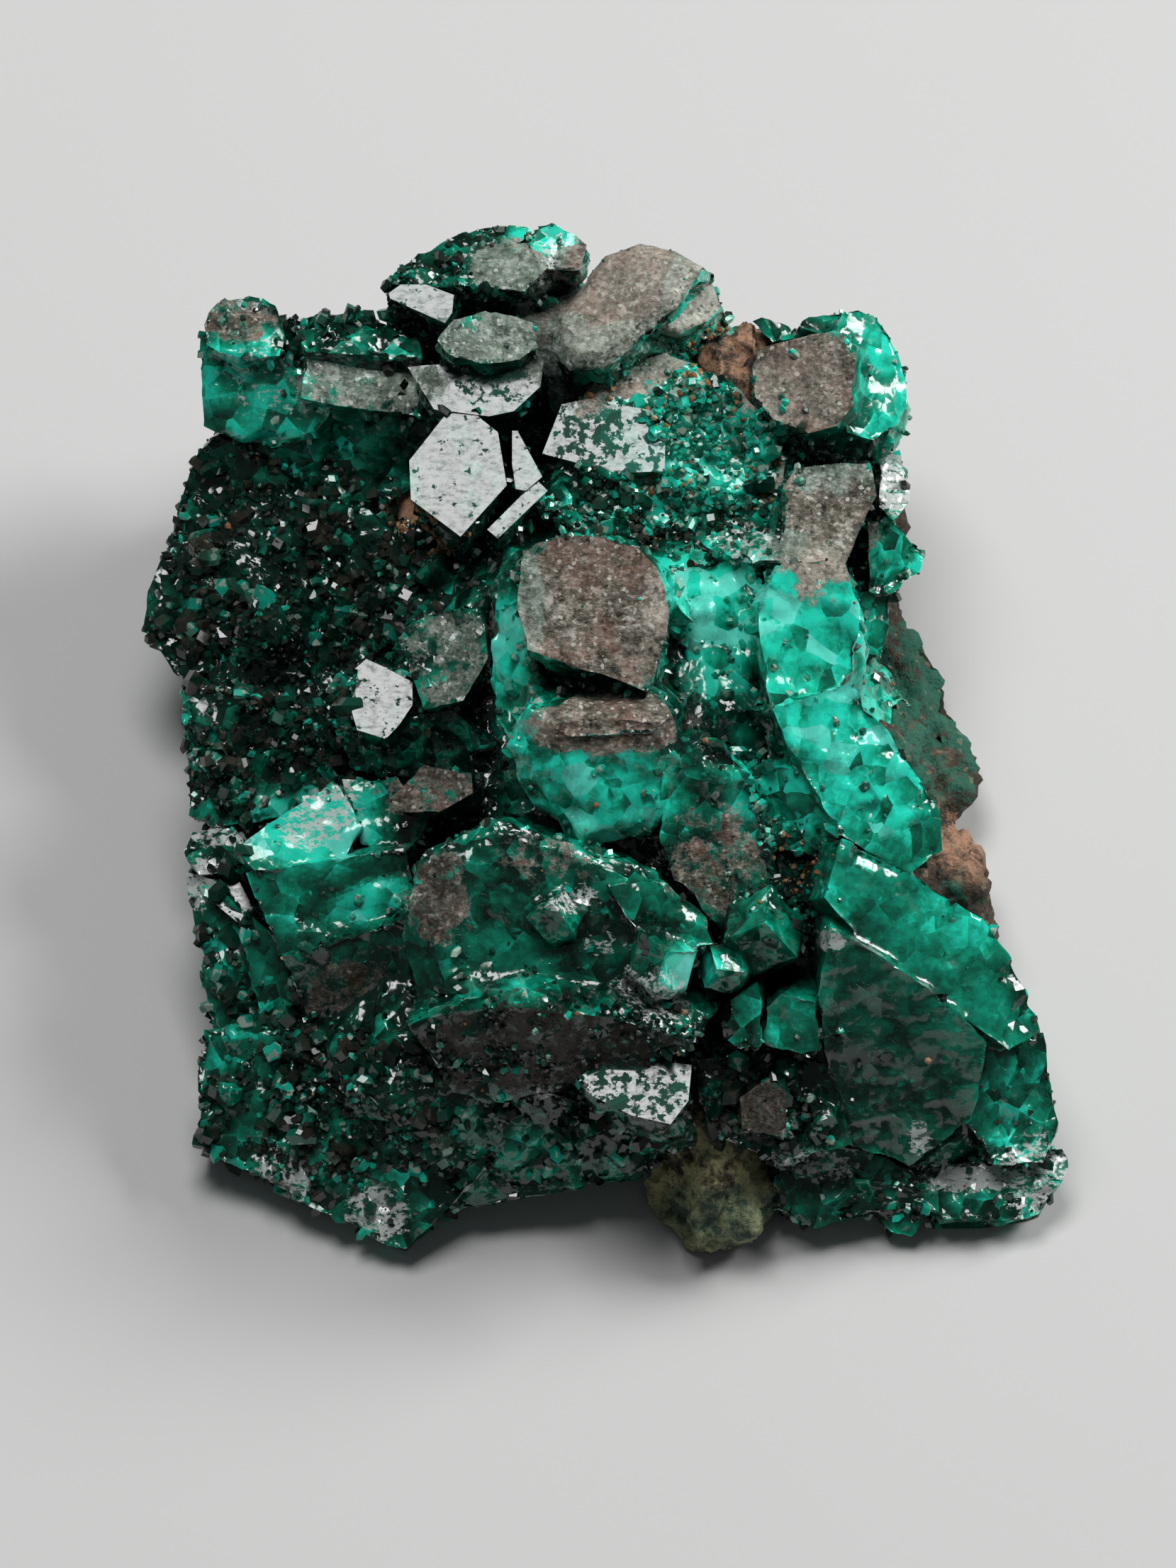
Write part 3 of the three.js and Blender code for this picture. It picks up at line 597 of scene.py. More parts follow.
class Bench:
    """Blender's operators, each used on one object alone."""

    @staticmethod
    def only(obj: bpy.types.Object) -> None:
        """Selects one object and nothing else."""
        bpy.ops.object.select_all(action="DESELECT")
        obj.select_set(True)
        bpy.context.view_layer.objects.active = obj

    @staticmethod
    def new(name: str, mesh: bpy.types.Mesh) -> bpy.types.Object:
        """A new object at the origin."""
        obj = bpy.data.objects.new(name, mesh)
        bpy.context.scene.collection.objects.link(obj)
        return obj

    @classmethod
    def copy_solid(cls, node: bpy.types.Object, name: str) -> bpy.types.Object:
        """A copy of a solid with its triangles merged and its flat faces whole.

        Args:
            node: The solid.
            name: The copy's name.

        Returns:
            The copy.
        """
        obj = cls.new(name, node.data.copy())
        obj.data.materials.clear()
        cls.only(obj)
        bpy.ops.object.mode_set(mode="EDIT")
        bpy.ops.mesh.select_all(action="SELECT")
        bpy.ops.mesh.remove_doubles(threshold=1e-7)
        bpy.ops.mesh.dissolve_limited(angle_limit=math.radians(0.3))
        bpy.ops.mesh.quads_convert_to_tris(quad_method="BEAUTY", ngon_method="BEAUTY")
        bpy.ops.object.mode_set(mode="OBJECT")
        return obj

    @classmethod
    def mark_exposure(cls, obj: bpy.types.Object, outward: Vector) -> None:
        """Stores on each face how open it lies.

        Args:
            obj: The object.
            outward: The direction to the viewer.
        """
        mesh = obj.data
        corners = [v.co.copy() for v in mesh.vertices]
        tree = BVHTree.FromPolygons(corners, [tuple(p.vertices) for p in mesh.polygons])
        sides = [Vector((math.cos(a), math.sin(a), t)).normalized() for a in np.arange(0.0, 6.2, 0.7) for t in (0.1, 0.9)]
        levels = []
        for face in mesh.polygons:
            starts = [face.center + face.normal * 2e-5]
            starts += [(corners[v] * 0.7 + face.center * 0.3) + face.normal * 2e-5 for v in face.vertices]

            def clear(aim: Vector) -> bool:
                return face.normal.dot(aim) > 0.0 and any(tree.ray_cast(s, aim)[0] is None for s in starts)

            if clear(outward):
                levels.append(Exposure.SEEN.value)
            elif any(clear(side) for side in sides):
                levels.append(Exposure.OPEN.value)
            else:
                levels.append(Exposure.BURIED.value)
        mesh.attributes.new("exposure", "INT", "FACE").data.foreach_set("value", levels)

    @classmethod
    def refine(cls, obj: bpy.types.Object, longest: dict[Exposure, float]) -> None:
        """Splits the long edges of the open faces until none is longer than its limit.

        Args:
            obj: The object, with its exposure marked.
            longest: The longest edge for each exposure, in millimetres.
        """
        limits = {level.value: length * MM for level, length in longest.items()}
        cls.only(obj)
        bpy.ops.object.mode_set(mode="EDIT")
        bpy.ops.mesh.select_mode(type="EDGE")
        for _ in range(9):
            work = bmesh.from_edit_mesh(obj.data)
            layer = work.faces.layers.int["exposure"]
            long_edges = 0
            for edge in work.edges:
                limit = min((limits[f[layer]] for f in edge.link_faces), default=1.0)
                edge.select = edge.calc_length() > limit
                long_edges += edge.select
            if not long_edges:
                break
            work.select_flush_mode()
            bmesh.update_edit_mesh(obj.data)
            bpy.ops.mesh.subdivide(number_cuts=1)
            bpy.ops.mesh.select_all(action="SELECT")
            bpy.ops.mesh.quads_convert_to_tris(quad_method="BEAUTY", ngon_method="BEAUTY")
        bpy.ops.object.mode_set(mode="OBJECT")

    @staticmethod
    def store(mesh: bpy.types.Mesh, name: str, values: np.ndarray, domain: str = "POINT") -> None:
        """Stores one number for each point or face of a mesh."""
        mesh.attributes.new(name, "FLOAT", domain).data.foreach_set("value", values.astype(np.float32))

    @staticmethod
    def points(mesh: bpy.types.Mesh) -> np.ndarray:
        """A mesh's points, in rows of x, y and z."""
        flat = np.empty(len(mesh.vertices) * 3, dtype=np.float32)
        mesh.vertices.foreach_get("co", flat)
        return flat.reshape(-1, 3).astype(np.float64)

    @staticmethod
    def faces(mesh: bpy.types.Mesh) -> tuple[np.ndarray, np.ndarray, np.ndarray]:
        """A triangle mesh's corners, middles and normals, in rows."""
        corners = np.empty(len(mesh.loops), dtype=np.int32)
        mesh.loops.foreach_get("vertex_index", corners)
        corners = corners.reshape(-1, 3)
        points = Bench.points(mesh)[corners]
        normals = np.cross(points[:, 1] - points[:, 0], points[:, 2] - points[:, 0])
        normals /= np.maximum(np.linalg.norm(normals, axis=1, keepdims=True), 1e-20)
        return corners, points.mean(axis=1), normals

    @staticmethod
    def to_points(corners: np.ndarray, values: np.ndarray, count: int) -> np.ndarray:
        """The highest value of the faces around each point."""
        highest = np.zeros(count)
        for side in range(3):
            np.maximum.at(highest, corners[:, side], values)
        return highest

    @staticmethod
    def smoothed(mesh: bpy.types.Mesh, values: np.ndarray, rounds: int) -> np.ndarray:
        """Evens values out over a mesh.

        Args:
            mesh: The mesh.
            values: A row for each point.
            rounds: How often each row is mixed with its neighbours'.

        Returns:
            The evened rows.
        """
        edges = np.empty(len(mesh.edges) * 2, dtype=np.int32)
        mesh.edges.foreach_get("vertices", edges)
        first, second = edges.reshape(-1, 2).T
        count = len(values)
        degree = np.bincount(first, minlength=count) + np.bincount(second, minlength=count)
        even = values.copy()
        for _ in range(rounds):
            near = [np.bincount(first, c[second], count) + np.bincount(second, c[first], count) for c in even.T]
            even = 0.5 * even + 0.5 * np.stack(near, axis=1) / np.maximum(degree, 1)[:, None]
        return even

    @classmethod
    def relief(cls, mesh: bpy.types.Mesh, rounds: int, scale: float) -> np.ndarray:
        """How far each point stands out of its surroundings, from -1 in a crevice to 1 on an edge.

        Args:
            mesh: The mesh.
            rounds: How many rounds of smoothing give the surroundings.
            scale: The height that counts as 1, in millimetres.

        Returns:
            A value for each point.
        """
        points = cls.points(mesh)
        normals = np.empty(points.size, dtype=np.float32)
        mesh.vertices.foreach_get("normal", normals)
        height = ((points - cls.smoothed(mesh, points, rounds)) * normals.reshape(-1, 3)).sum(axis=1)
        return np.clip(height / (scale * MM), -1.0, 1.0)

    @classmethod
    def shelter(cls, mesh: bpy.types.Mesh, reach: float, rays: int) -> np.ndarray:
        """How closed in each point is, from 0 in the open to 1 at the bottom of a crevice.

        Args:
            mesh: The mesh.
            reach: How far away a wall still counts, in millimetres.
            rays: How many directions are looked in.

        Returns:
            A value for each point.
        """
        tree = BVHTree.FromPolygons([v.co for v in mesh.vertices], [tuple(p.vertices) for p in mesh.polygons])
        heights = [1.0 - (2 * k + 1) / rays for k in range(rays)]
        turns = [k * math.pi * (3.0 - math.sqrt(5.0)) for k in range(rays)]
        ball = [
            Vector((math.cos(t) * math.sqrt(1.0 - h * h), math.sin(t) * math.sqrt(1.0 - h * h), h))
            for h, t in zip(heights, turns)
        ]
        blocked = np.zeros((len(mesh.vertices), 1))
        for vertex in mesh.vertices:
            start = vertex.co + vertex.normal * 1e-4
            aims = [vertex.normal * 1.02 + way for way in ball]
            hits = [tree.ray_cast(start, aim, reach * MM)[0] is not None for aim in aims]
            blocked[vertex.index] = sum(hits) / rays
        return cls.smoothed(mesh, blocked, 2)[:, 0]

    @classmethod
    def close(cls, obj: bpy.types.Object, material: bpy.types.Material, slot: Slot) -> None:
        """Dresses a finished piece and sets it on the specimen.

        Args:
            obj: The piece.
            material: Its material.
            slot: The record's slot that its finish stands for. Not used.
        """
        obj.data.materials.clear()
        obj.data.materials.append(material)
        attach(obj, BODY)
        LOG.info("%s: %d faces", obj.name, len(obj.data.polygons))


@dataclass(frozen=True)
class Cleavage:
    """Breaks of one size: flat, tilted facets that meet in creases."""

    size: float
    slope: float
    rise: float
    crease: float = 0.5

    def height(self, point: Vector) -> float:
        """How far a broken surface stands out.

        Args:
            point: A place, in millimetres.

        Returns:
            The height, in millimetres.
        """
        scaled = point / self.size
        distances, seeds = noise.voronoi(scaled)
        lowest = math.inf
        for distance, seed in zip(distances, seeds):
            tilt = noise.cell_vector(seed * 53.7) * 2.0 - Vector((1.0, 1.0, 1.0))
            lift = self.rise * (noise.cell(seed * 91.3) - 0.5)
            beyond = self.crease * (distance**2 - distances[0] ** 2)
            lowest = min(lowest, self.slope * tilt.dot(scaled - seed) + lift + beyond)
        return lowest * self.size


@dataclass
class CrystalMass:
    """The dioptase: large crystals and broken blocks, worked up from their solid."""

    sheet: Sheet
    node: str = "dioptase_crystals"
    mirror_lean: tuple[float, float] = (21.0, -3.0)
    mirror_spread: float = 1.5
    longest: tuple[float, float, float] = (4.0, 1.0, 0.5)
    coarse: Cleavage = Cleavage(2.6, 0.15, 0.06)
    fine: Cleavage = Cleavage(1.25, 0.17, 0.05)
    calm_share: float = 0.5
    skin_patches: tuple[Patch, ...] = (
        Patch((13.4, 18.0), (2.4, 1.4), 0.5, lean=(22, -8)),
        Patch((27.5, 18.8), (3.4, 1.8), 0.62, lean=(18, 3)),
        Patch((35.0, 17.4), (6.4, 4.4), 1.1, -42, lean=(20, -8), spread=75.0),
        Patch((39.6, 17.0), (2.8, 3.4), 1.0, lean=(15, 25), spread=50.0),
        Patch((45.2, 21.8), (3.4, 3.4), 1.0, lean=(10, -10)),
        Patch((46.4, 29.2), (3.2, 4.4), 0.9, lean=(6, 8), spread=25.0),
        Patch((33.4, 34.5), (5.0, 5.0), 1.0, lean=(8, -3)),
        Patch((34.4, 40.8), (4.6, 1.9), 0.9, lean=(15, 0), spread=60.0),
        Patch((30.6, 59.2), (8.6, 2.8), 0.55, lean=(-40, -5), spread=50.0),
        Patch((24.8, 50.6), (1.8, 2.8), 0.6, lean=(-8, -5), spread=40.0),
        Patch((31.0, 48.2), (3.0, 1.6), 0.45, lean=(10, 0), spread=50.0),
        Patch((19.8, 56.0), (3.4, 1.8), 0.5, lean=(-25, -5), spread=40.0),
        Patch((43.1, 62.5), (1.8, 2.0), 0.7, lean=(5, -8)),
        Patch((24.2, 44.6), (3.0, 1.7), 0.6, lean=(5, -15)),
        Patch((28.8, 14.9), (2.4, 1.5), 0.75, lean=(34, -5), spread=30.0),
        Patch((12.7, 25.6), (1.5, 1.7), 0.8, lean=(5, -15)),
        Patch((21.3, 21.4), (4.6, 2.2), 0.58, lean=(8, 5), spread=30.0),
        Patch((25.3, 37.0), (2.8, 3.2), 0.52, lean=(5, -12)),
        Patch((40.4, 48.4), (3.2, 3.4), 0.5, lean=(5, 0), spread=50.0),
    )
    sage_patches: tuple[Patch, ...] = (
        Patch((21.0, 21.0), (5.6, 3.0), 1.0),
        Patch((27.5, 19.0), (3.6, 2.2), 0.75),
        Patch((27.4, 14.8), (5.0, 2.4), 0.8),
        Patch((39.8, 17.0), (2.6, 3.6), 1.0),
        Patch((34.6, 20.0), (5.0, 1.7), 1.0, -12),
        Patch((35.4, 16.6), (4.6, 3.0), 0.25),
        Patch((46.2, 26.2), (2.4, 0.9), 0.9),
        Patch((32.0, 19.4), (1.6, 2.0), 0.8),
        Patch((25.3, 37.0), (3.4, 3.8), 0.8),
        Patch((47.0, 27.0), (2.6, 1.6), 0.5),
        Patch((43.2, 30.8), (2.6, 1.2), 0.9),
        Patch((29.4, 34.0), (1.4, 4.0), 0.8),
    )
    hole_patches: tuple[Patch, ...] = (
        Patch((33.4, 24.2), (2.4, 2.2), 0.9),
        Patch((36.6, 25.0), (1.8, 2.4), 0.7),
        Patch((35.6, 61.4), (3.6, 1.8), 0.8),
        Patch((28.0, 21.2), (2.2, 1.4), 0.8),
    )
    # where reflections of the lamps are painted as light grey streaks
    painted_reflection_patches: tuple[Patch, ...] = (
        Patch((35.0, 19.6), (4.6, 1.4), 0.55, -15),
        Patch((40.2, 16.8), (1.6, 2.6), 0.5),
        Patch((30.8, 14.8), (2.2, 1.6), 0.7),
        Patch((15.6, 21.2), (3.4, 2.4), 0.42),
        Patch((18.2, 46.0), (2.6, 1.6), 0.8, -35),
        Patch((42.4, 30.9), (2.4, 1.3), 0.85, 12),
        Patch((50.5, 27.2), (1.1, 2.0), 1.0),
        Patch((45.6, 65.6), (2.6, 0.8), 0.8, 8),
        Patch((54.9, 66.4), (3.0, 0.8), 1.1, -2),
        Patch((58.4, 66.2), (2.0, 2.4), 0.75),
        Patch((51.8, 64.1), (0.6, 1.0), 0.9),
        Patch((16.1, 66.4), (1.7, 1.5), 0.95),
        Patch((21.3, 68.4), (1.8, 1.7), 0.9, 40),
        Patch((12.5, 47.2), (1.8, 0.6), 0.9),
        Patch((11.3, 49.8), (1.0, 1.5), 1.1, 15),
        Patch((19.6, 44.2), (0.6, 0.5), 1.0),
        Patch((30.8, 61.6), (0.7, 0.4), 1.0),
        Patch((37.2, 56.2), (1.8, 1.6), 0.7),
        Patch((32.2, 50.7), (1.6, 0.8), 0.75, -10),
        Patch((33.8, 53.3), (1.0, 0.7), 0.65, -10),
        Patch((35.5, 55.4), (0.7, 0.9), 0.7),
        Patch((46.8, 53.0), (0.9, 0.7), 1.0),
    )
    # where light is painted on the crystal, as if shining through thin or broken parts
    painted_light_patches: tuple[Patch, ...] = (
        Patch((14.0, 21.2), (3.4, 2.6), 0.85),
        Patch((17.6, 24.0), (5.2, 2.2), 0.75),
        Patch((20.4, 26.8), (3.4, 2.2), 0.5),
        Patch((50.0, 22.0), (1.9, 4.8), 0.9),
        Patch((48.6, 18.6), (2.6, 1.4), 0.7),
        Patch((41.2, 33.8), (4.8, 3.0), 1.7),
        Patch((40.6, 37.0), (2.8, 3.0), 1.1),
        Patch((30.8, 13.2), (2.2, 1.3), 1.2),
        Patch((28.6, 36.6), (1.3, 2.8), 1.4),
        Patch((46.0, 36.6), (3.6, 6.6), 1.25),
        Patch((43.4, 45.2), (2.8, 3.2), 1.1),
        Patch((43.0, 41.0), (1.6, 3.0), 0.7),
        Patch((29.6, 39.6), (1.9, 5.4), 0.85),
        Patch((34.4, 45.0), (4.6, 3.2), 1.1),
        Patch((49.0, 43.4), (4.0, 5.0), 1.15),
        Patch((54.0, 51.5), (2.6, 6.0), 0.65, 40),
        Patch((49.4, 49.4), (3.0, 2.6), 0.45),
        Patch((41.0, 50.6), (2.6, 2.6), 0.4),
        Patch((39.0, 54.7), (1.7, 1.8), 1.35),
        Patch((44.8, 56.6), (2.2, 2.8), 0.65),
        Patch((17.6, 46.6), (4.0, 2.6), 1.5),
        Patch((21.0, 50.8), (2.6, 1.1), 1.5, -18),
        Patch((14.8, 50.8), (2.4, 2.4), 0.5),
        Patch((13.4, 57.2), (2.4, 5.0), 0.5),
        Patch((27.6, 64.6), (6.2, 1.8), 0.4),
        Patch((56.0, 60.0), (2.4, 6.0), 0.55, -20),
        Patch((46.4, 51.2), (1.8, 1.8), 0.75),
        Patch((51.0, 31.4), (1.8, 2.4), 0.85),
        Patch((34.0, 29.0), (8.0, 1.6), 0.35),
        Patch((39.6, 24.6), (5.6, 5.0), 1.3),
        Patch((28.6, 54.4), (3.4, 2.2), 0.45),
        Patch((35.2, 17.0), (5.0, 4.0), 0.85, -42),
        Patch((39.8, 17.2), (2.6, 3.4), 1.1),
        Patch((45.2, 21.8), (3.0, 3.0), 0.75),
    )
    # where shade is painted on the crystal and its crust, taken off the painted light
    painted_shade_patches: tuple[Patch, ...] = (
        Patch((15.0, 33.0), (8.6, 7.0), 0.55),
        Patch((22.0, 30.5), (6.0, 2.6), 0.4),
        Patch((14.5, 43.0), (5.0, 3.0), 0.25),
        Patch((22.0, 60.4), (9.0, 3.2), 0.1),
        Patch((38.0, 61.6), (10.0, 2.6), 0.4),
        Patch((30.6, 59.4), (9.4, 2.8), 0.6),
        Patch((23.8, 50.4), (2.2, 3.0), 0.3),
        Patch((20.0, 56.2), (4.0, 2.2), 0.35),
        Patch((50.6, 59.0), (5.0, 5.6), 0.25),
        Patch((43.1, 62.5), (1.6, 1.8), 0.45),
        Patch((47.0, 60.5), (4.0, 2.6), 0.3),
        Patch((25.0, 42.0), (3.0, 2.6), 0.3),
    )
    calm_patches: tuple[Patch, ...] = (
        Patch((50.0, 56.0), (7.0, 9.0), 1.0),
        Patch((46.0, 37.5), (3.6, 7.0), 0.35),
        Patch((34.4, 45.0), (5.0, 3.4), 0.3),
        Patch((17.0, 23.4), (6.4, 3.4), 0.2),
        Patch((48.6, 21.8), (3.6, 5.0), 0.5),
        Patch((41.0, 54.0), (5.0, 4.0), 0.6),
        Patch((18.4, 48.0), (4.4, 3.4), 0.8),
        Patch((20.0, 54.4), (6.0, 2.6), 0.7),
        Patch((31.0, 52.4), (6.4, 4.4), 0.6),
    )

    def build(self) -> bpy.types.Object:
        """Builds the piece.

        Returns:
            The piece, with its masks stored on its mesh.
        """
        obj = Bench.copy_solid(bpy.data.objects[self.node], "dioptase_mass")
        Bench.mark_exposure(obj, self.sheet.outward)
        Bench.refine(obj, dict(zip(Exposure, self.longest)))
        held = self.paint(obj.data)
        self.break_up(obj.data, held)
        Bench.store(obj.data, "relief", Bench.relief(obj.data, 6, 0.16))
        Bench.store(obj.data, "shelter", Bench.shelter(obj.data, 6.0, 10))
        Bench.only(obj)
        bpy.ops.object.shade_smooth_by_angle(angle=math.radians(24))
        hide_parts(self.node)
        return obj

    def paint(self, mesh: bpy.types.Mesh) -> np.ndarray:
        """Stores where the surface is mirror bright or brown, and where light, shade and reflections are painted on
        it.

        Args:
            mesh: The refined mesh.

        Returns:
            How firmly each point is held in its flat face, from 0 to 1.
        """
        corners, middles, normals = Bench.faces(mesh)
        spots = self.sheet.spots(middles)
        aim = np.array(self.sheet.facing(*self.mirror_lean))
        mirror = (normals @ aim > math.cos(math.radians(self.mirror_spread))).astype(float)
        skin = painted(self.sheet, self.skin_patches, spots, normals)
        # painted light, less painted shade
        painted_light = painted(self.sheet, self.painted_light_patches, spots, normals)
        painted_light -= painted(self.sheet, self.painted_shade_patches, spots, normals)
        calm = painted(self.sheet, self.calm_patches, spots, normals)
        painted_reflection = painted(self.sheet, self.painted_reflection_patches, spots, normals)
        sage = painted(self.sheet, self.sage_patches, spots, normals)
        holes = painted(self.sheet, self.hole_patches, spots, normals)
        exposure = np.empty(len(middles), dtype=np.int32)
        mesh.attributes["exposure"].data.foreach_get("value", exposure)
        Bench.store(mesh, "mirror", mirror, "FACE")
        Bench.store(mesh, "skin", skin, "FACE")
        Bench.store(mesh, "painted_light", painted_light, "FACE")
        Bench.store(mesh, "calm", calm, "FACE")
        Bench.store(mesh, "painted_reflection", painted_reflection, "FACE")
        Bench.store(mesh, "sage", sage, "FACE")
        Bench.store(mesh, "holes", holes, "FACE")
        buried = (exposure == Exposure.BURIED.value).astype(float)
        worn = np.maximum(0.65 * np.clip(skin, 0.0, 1.0), self.calm_share * calm)
        firm = np.maximum(np.maximum(mirror, buried), worn)
        return Bench.to_points(corners, firm, len(mesh.vertices))

    def break_up(self, mesh: bpy.types.Mesh, held: np.ndarray) -> None:
        """Breaks the flat sides into cleavage steps.

        Args:
            mesh: The refined mesh.
            held: How firmly each point is held in its flat face.
        """
        moved = Bench.points(mesh)
        for vertex in mesh.vertices:
            loose = 1.0 - held[vertex.index]
            if loose <= 0.0:
                continue
            point = vertex.co / MM
            height = self.coarse.height(point) + self.fine.height(point)
            moved[vertex.index] += np.array(vertex.normal) * (height * loose * MM)
        moved[:, 2] = np.maximum(moved[:, 2], 0.0)
        mesh.vertices.foreach_set("co", moved.astype(np.float32).ravel())
        mesh.update()


@dataclass
class SeedCrystal:
    """One small dioptase crystal: a six-sided prism with a three-sided tip, one wide and standing on the origin."""

    length: float = 1.15
    tip_slope: float = 1.23

    def build(self) -> tuple[np.ndarray, list[tuple[int, ...]]]:
        """Models the crystal.

        Returns:
            Its points, in widths, and its faces.
        """
        bpy.ops.object.select_all(action="DESELECT")
        bpy.ops.mesh.primitive_cylinder_add(
            vertices=6, radius=0.5, depth=self.length, end_fill_type="NGON", location=(0, 0, self.length / 2)
        )
        obj = bpy.context.object
        bpy.ops.object.mode_set(mode="EDIT")
        bpy.ops.mesh.select_mode(type="FACE")
        self._select(obj, lambda face: face.calc_center_median().z < -0.49 * self.length)
        bpy.ops.mesh.delete(type="FACE")
        self._select(obj, lambda face: face.calc_center_median().z > 0.49 * self.length)
        bpy.ops.mesh.poke()
        work = bmesh.from_edit_mesh(obj.data)
        top = [v for v in work.verts if v.co.z > 0.49 * self.length]
        for vertex in top:
            radius = math.hypot(vertex.co.x, vertex.co.y)
            turn = math.degrees(math.atan2(vertex.co.x, vertex.co.y)) % 120.0
            share = 1.0 if 30.0 < turn < 90.0 else 0.5
            vertex.co.z -= radius * self.tip_slope * share
        bmesh.update_edit_mesh(obj.data)
        bpy.ops.object.mode_set(mode="OBJECT")
        bpy.ops.object.transform_apply(location=True, rotation=True, scale=True)
        points = Bench.points(obj.data)
        faces = [tuple(face.vertices) for face in obj.data.polygons]
        mesh = obj.data
        bpy.data.objects.remove(obj)
        bpy.data.meshes.remove(mesh)
        return points, faces

    @staticmethod
    def _select(obj: bpy.types.Object, wanted: object) -> None:
        """Selects the faces that a test picks."""
        work = bmesh.from_edit_mesh(obj.data)
        for face in work.faces:
            face.select = bool(wanted(face))
        work.select_flush_mode()
        bmesh.update_edit_mesh(obj.data)


@dataclass
class SeedGrain:
    """One broken grain, one wide and centred on the origin."""

    seed: int = 5

    def build(self) -> tuple[np.ndarray, list[tuple[int, ...]]]:
        """Models the grain.

        Returns:
            Its points, in widths, and its faces.
        """
        bpy.ops.object.select_all(action="DESELECT")
        bpy.ops.mesh.primitive_ico_sphere_add(subdivisions=1, radius=0.5)
        obj = bpy.context.object
        bpy.ops.object.mode_set(mode="EDIT")
        bpy.ops.mesh.select_all(action="SELECT")
        bpy.ops.transform.vertex_random(offset=0.16, seed=self.seed)
        bpy.ops.object.mode_set(mode="OBJECT")
        points = Bench.points(obj.data)
        faces = [tuple(face.vertices) for face in obj.data.polygons]
        mesh = obj.data
        bpy.data.objects.remove(obj)
        bpy.data.meshes.remove(mesh)
        return points, faces


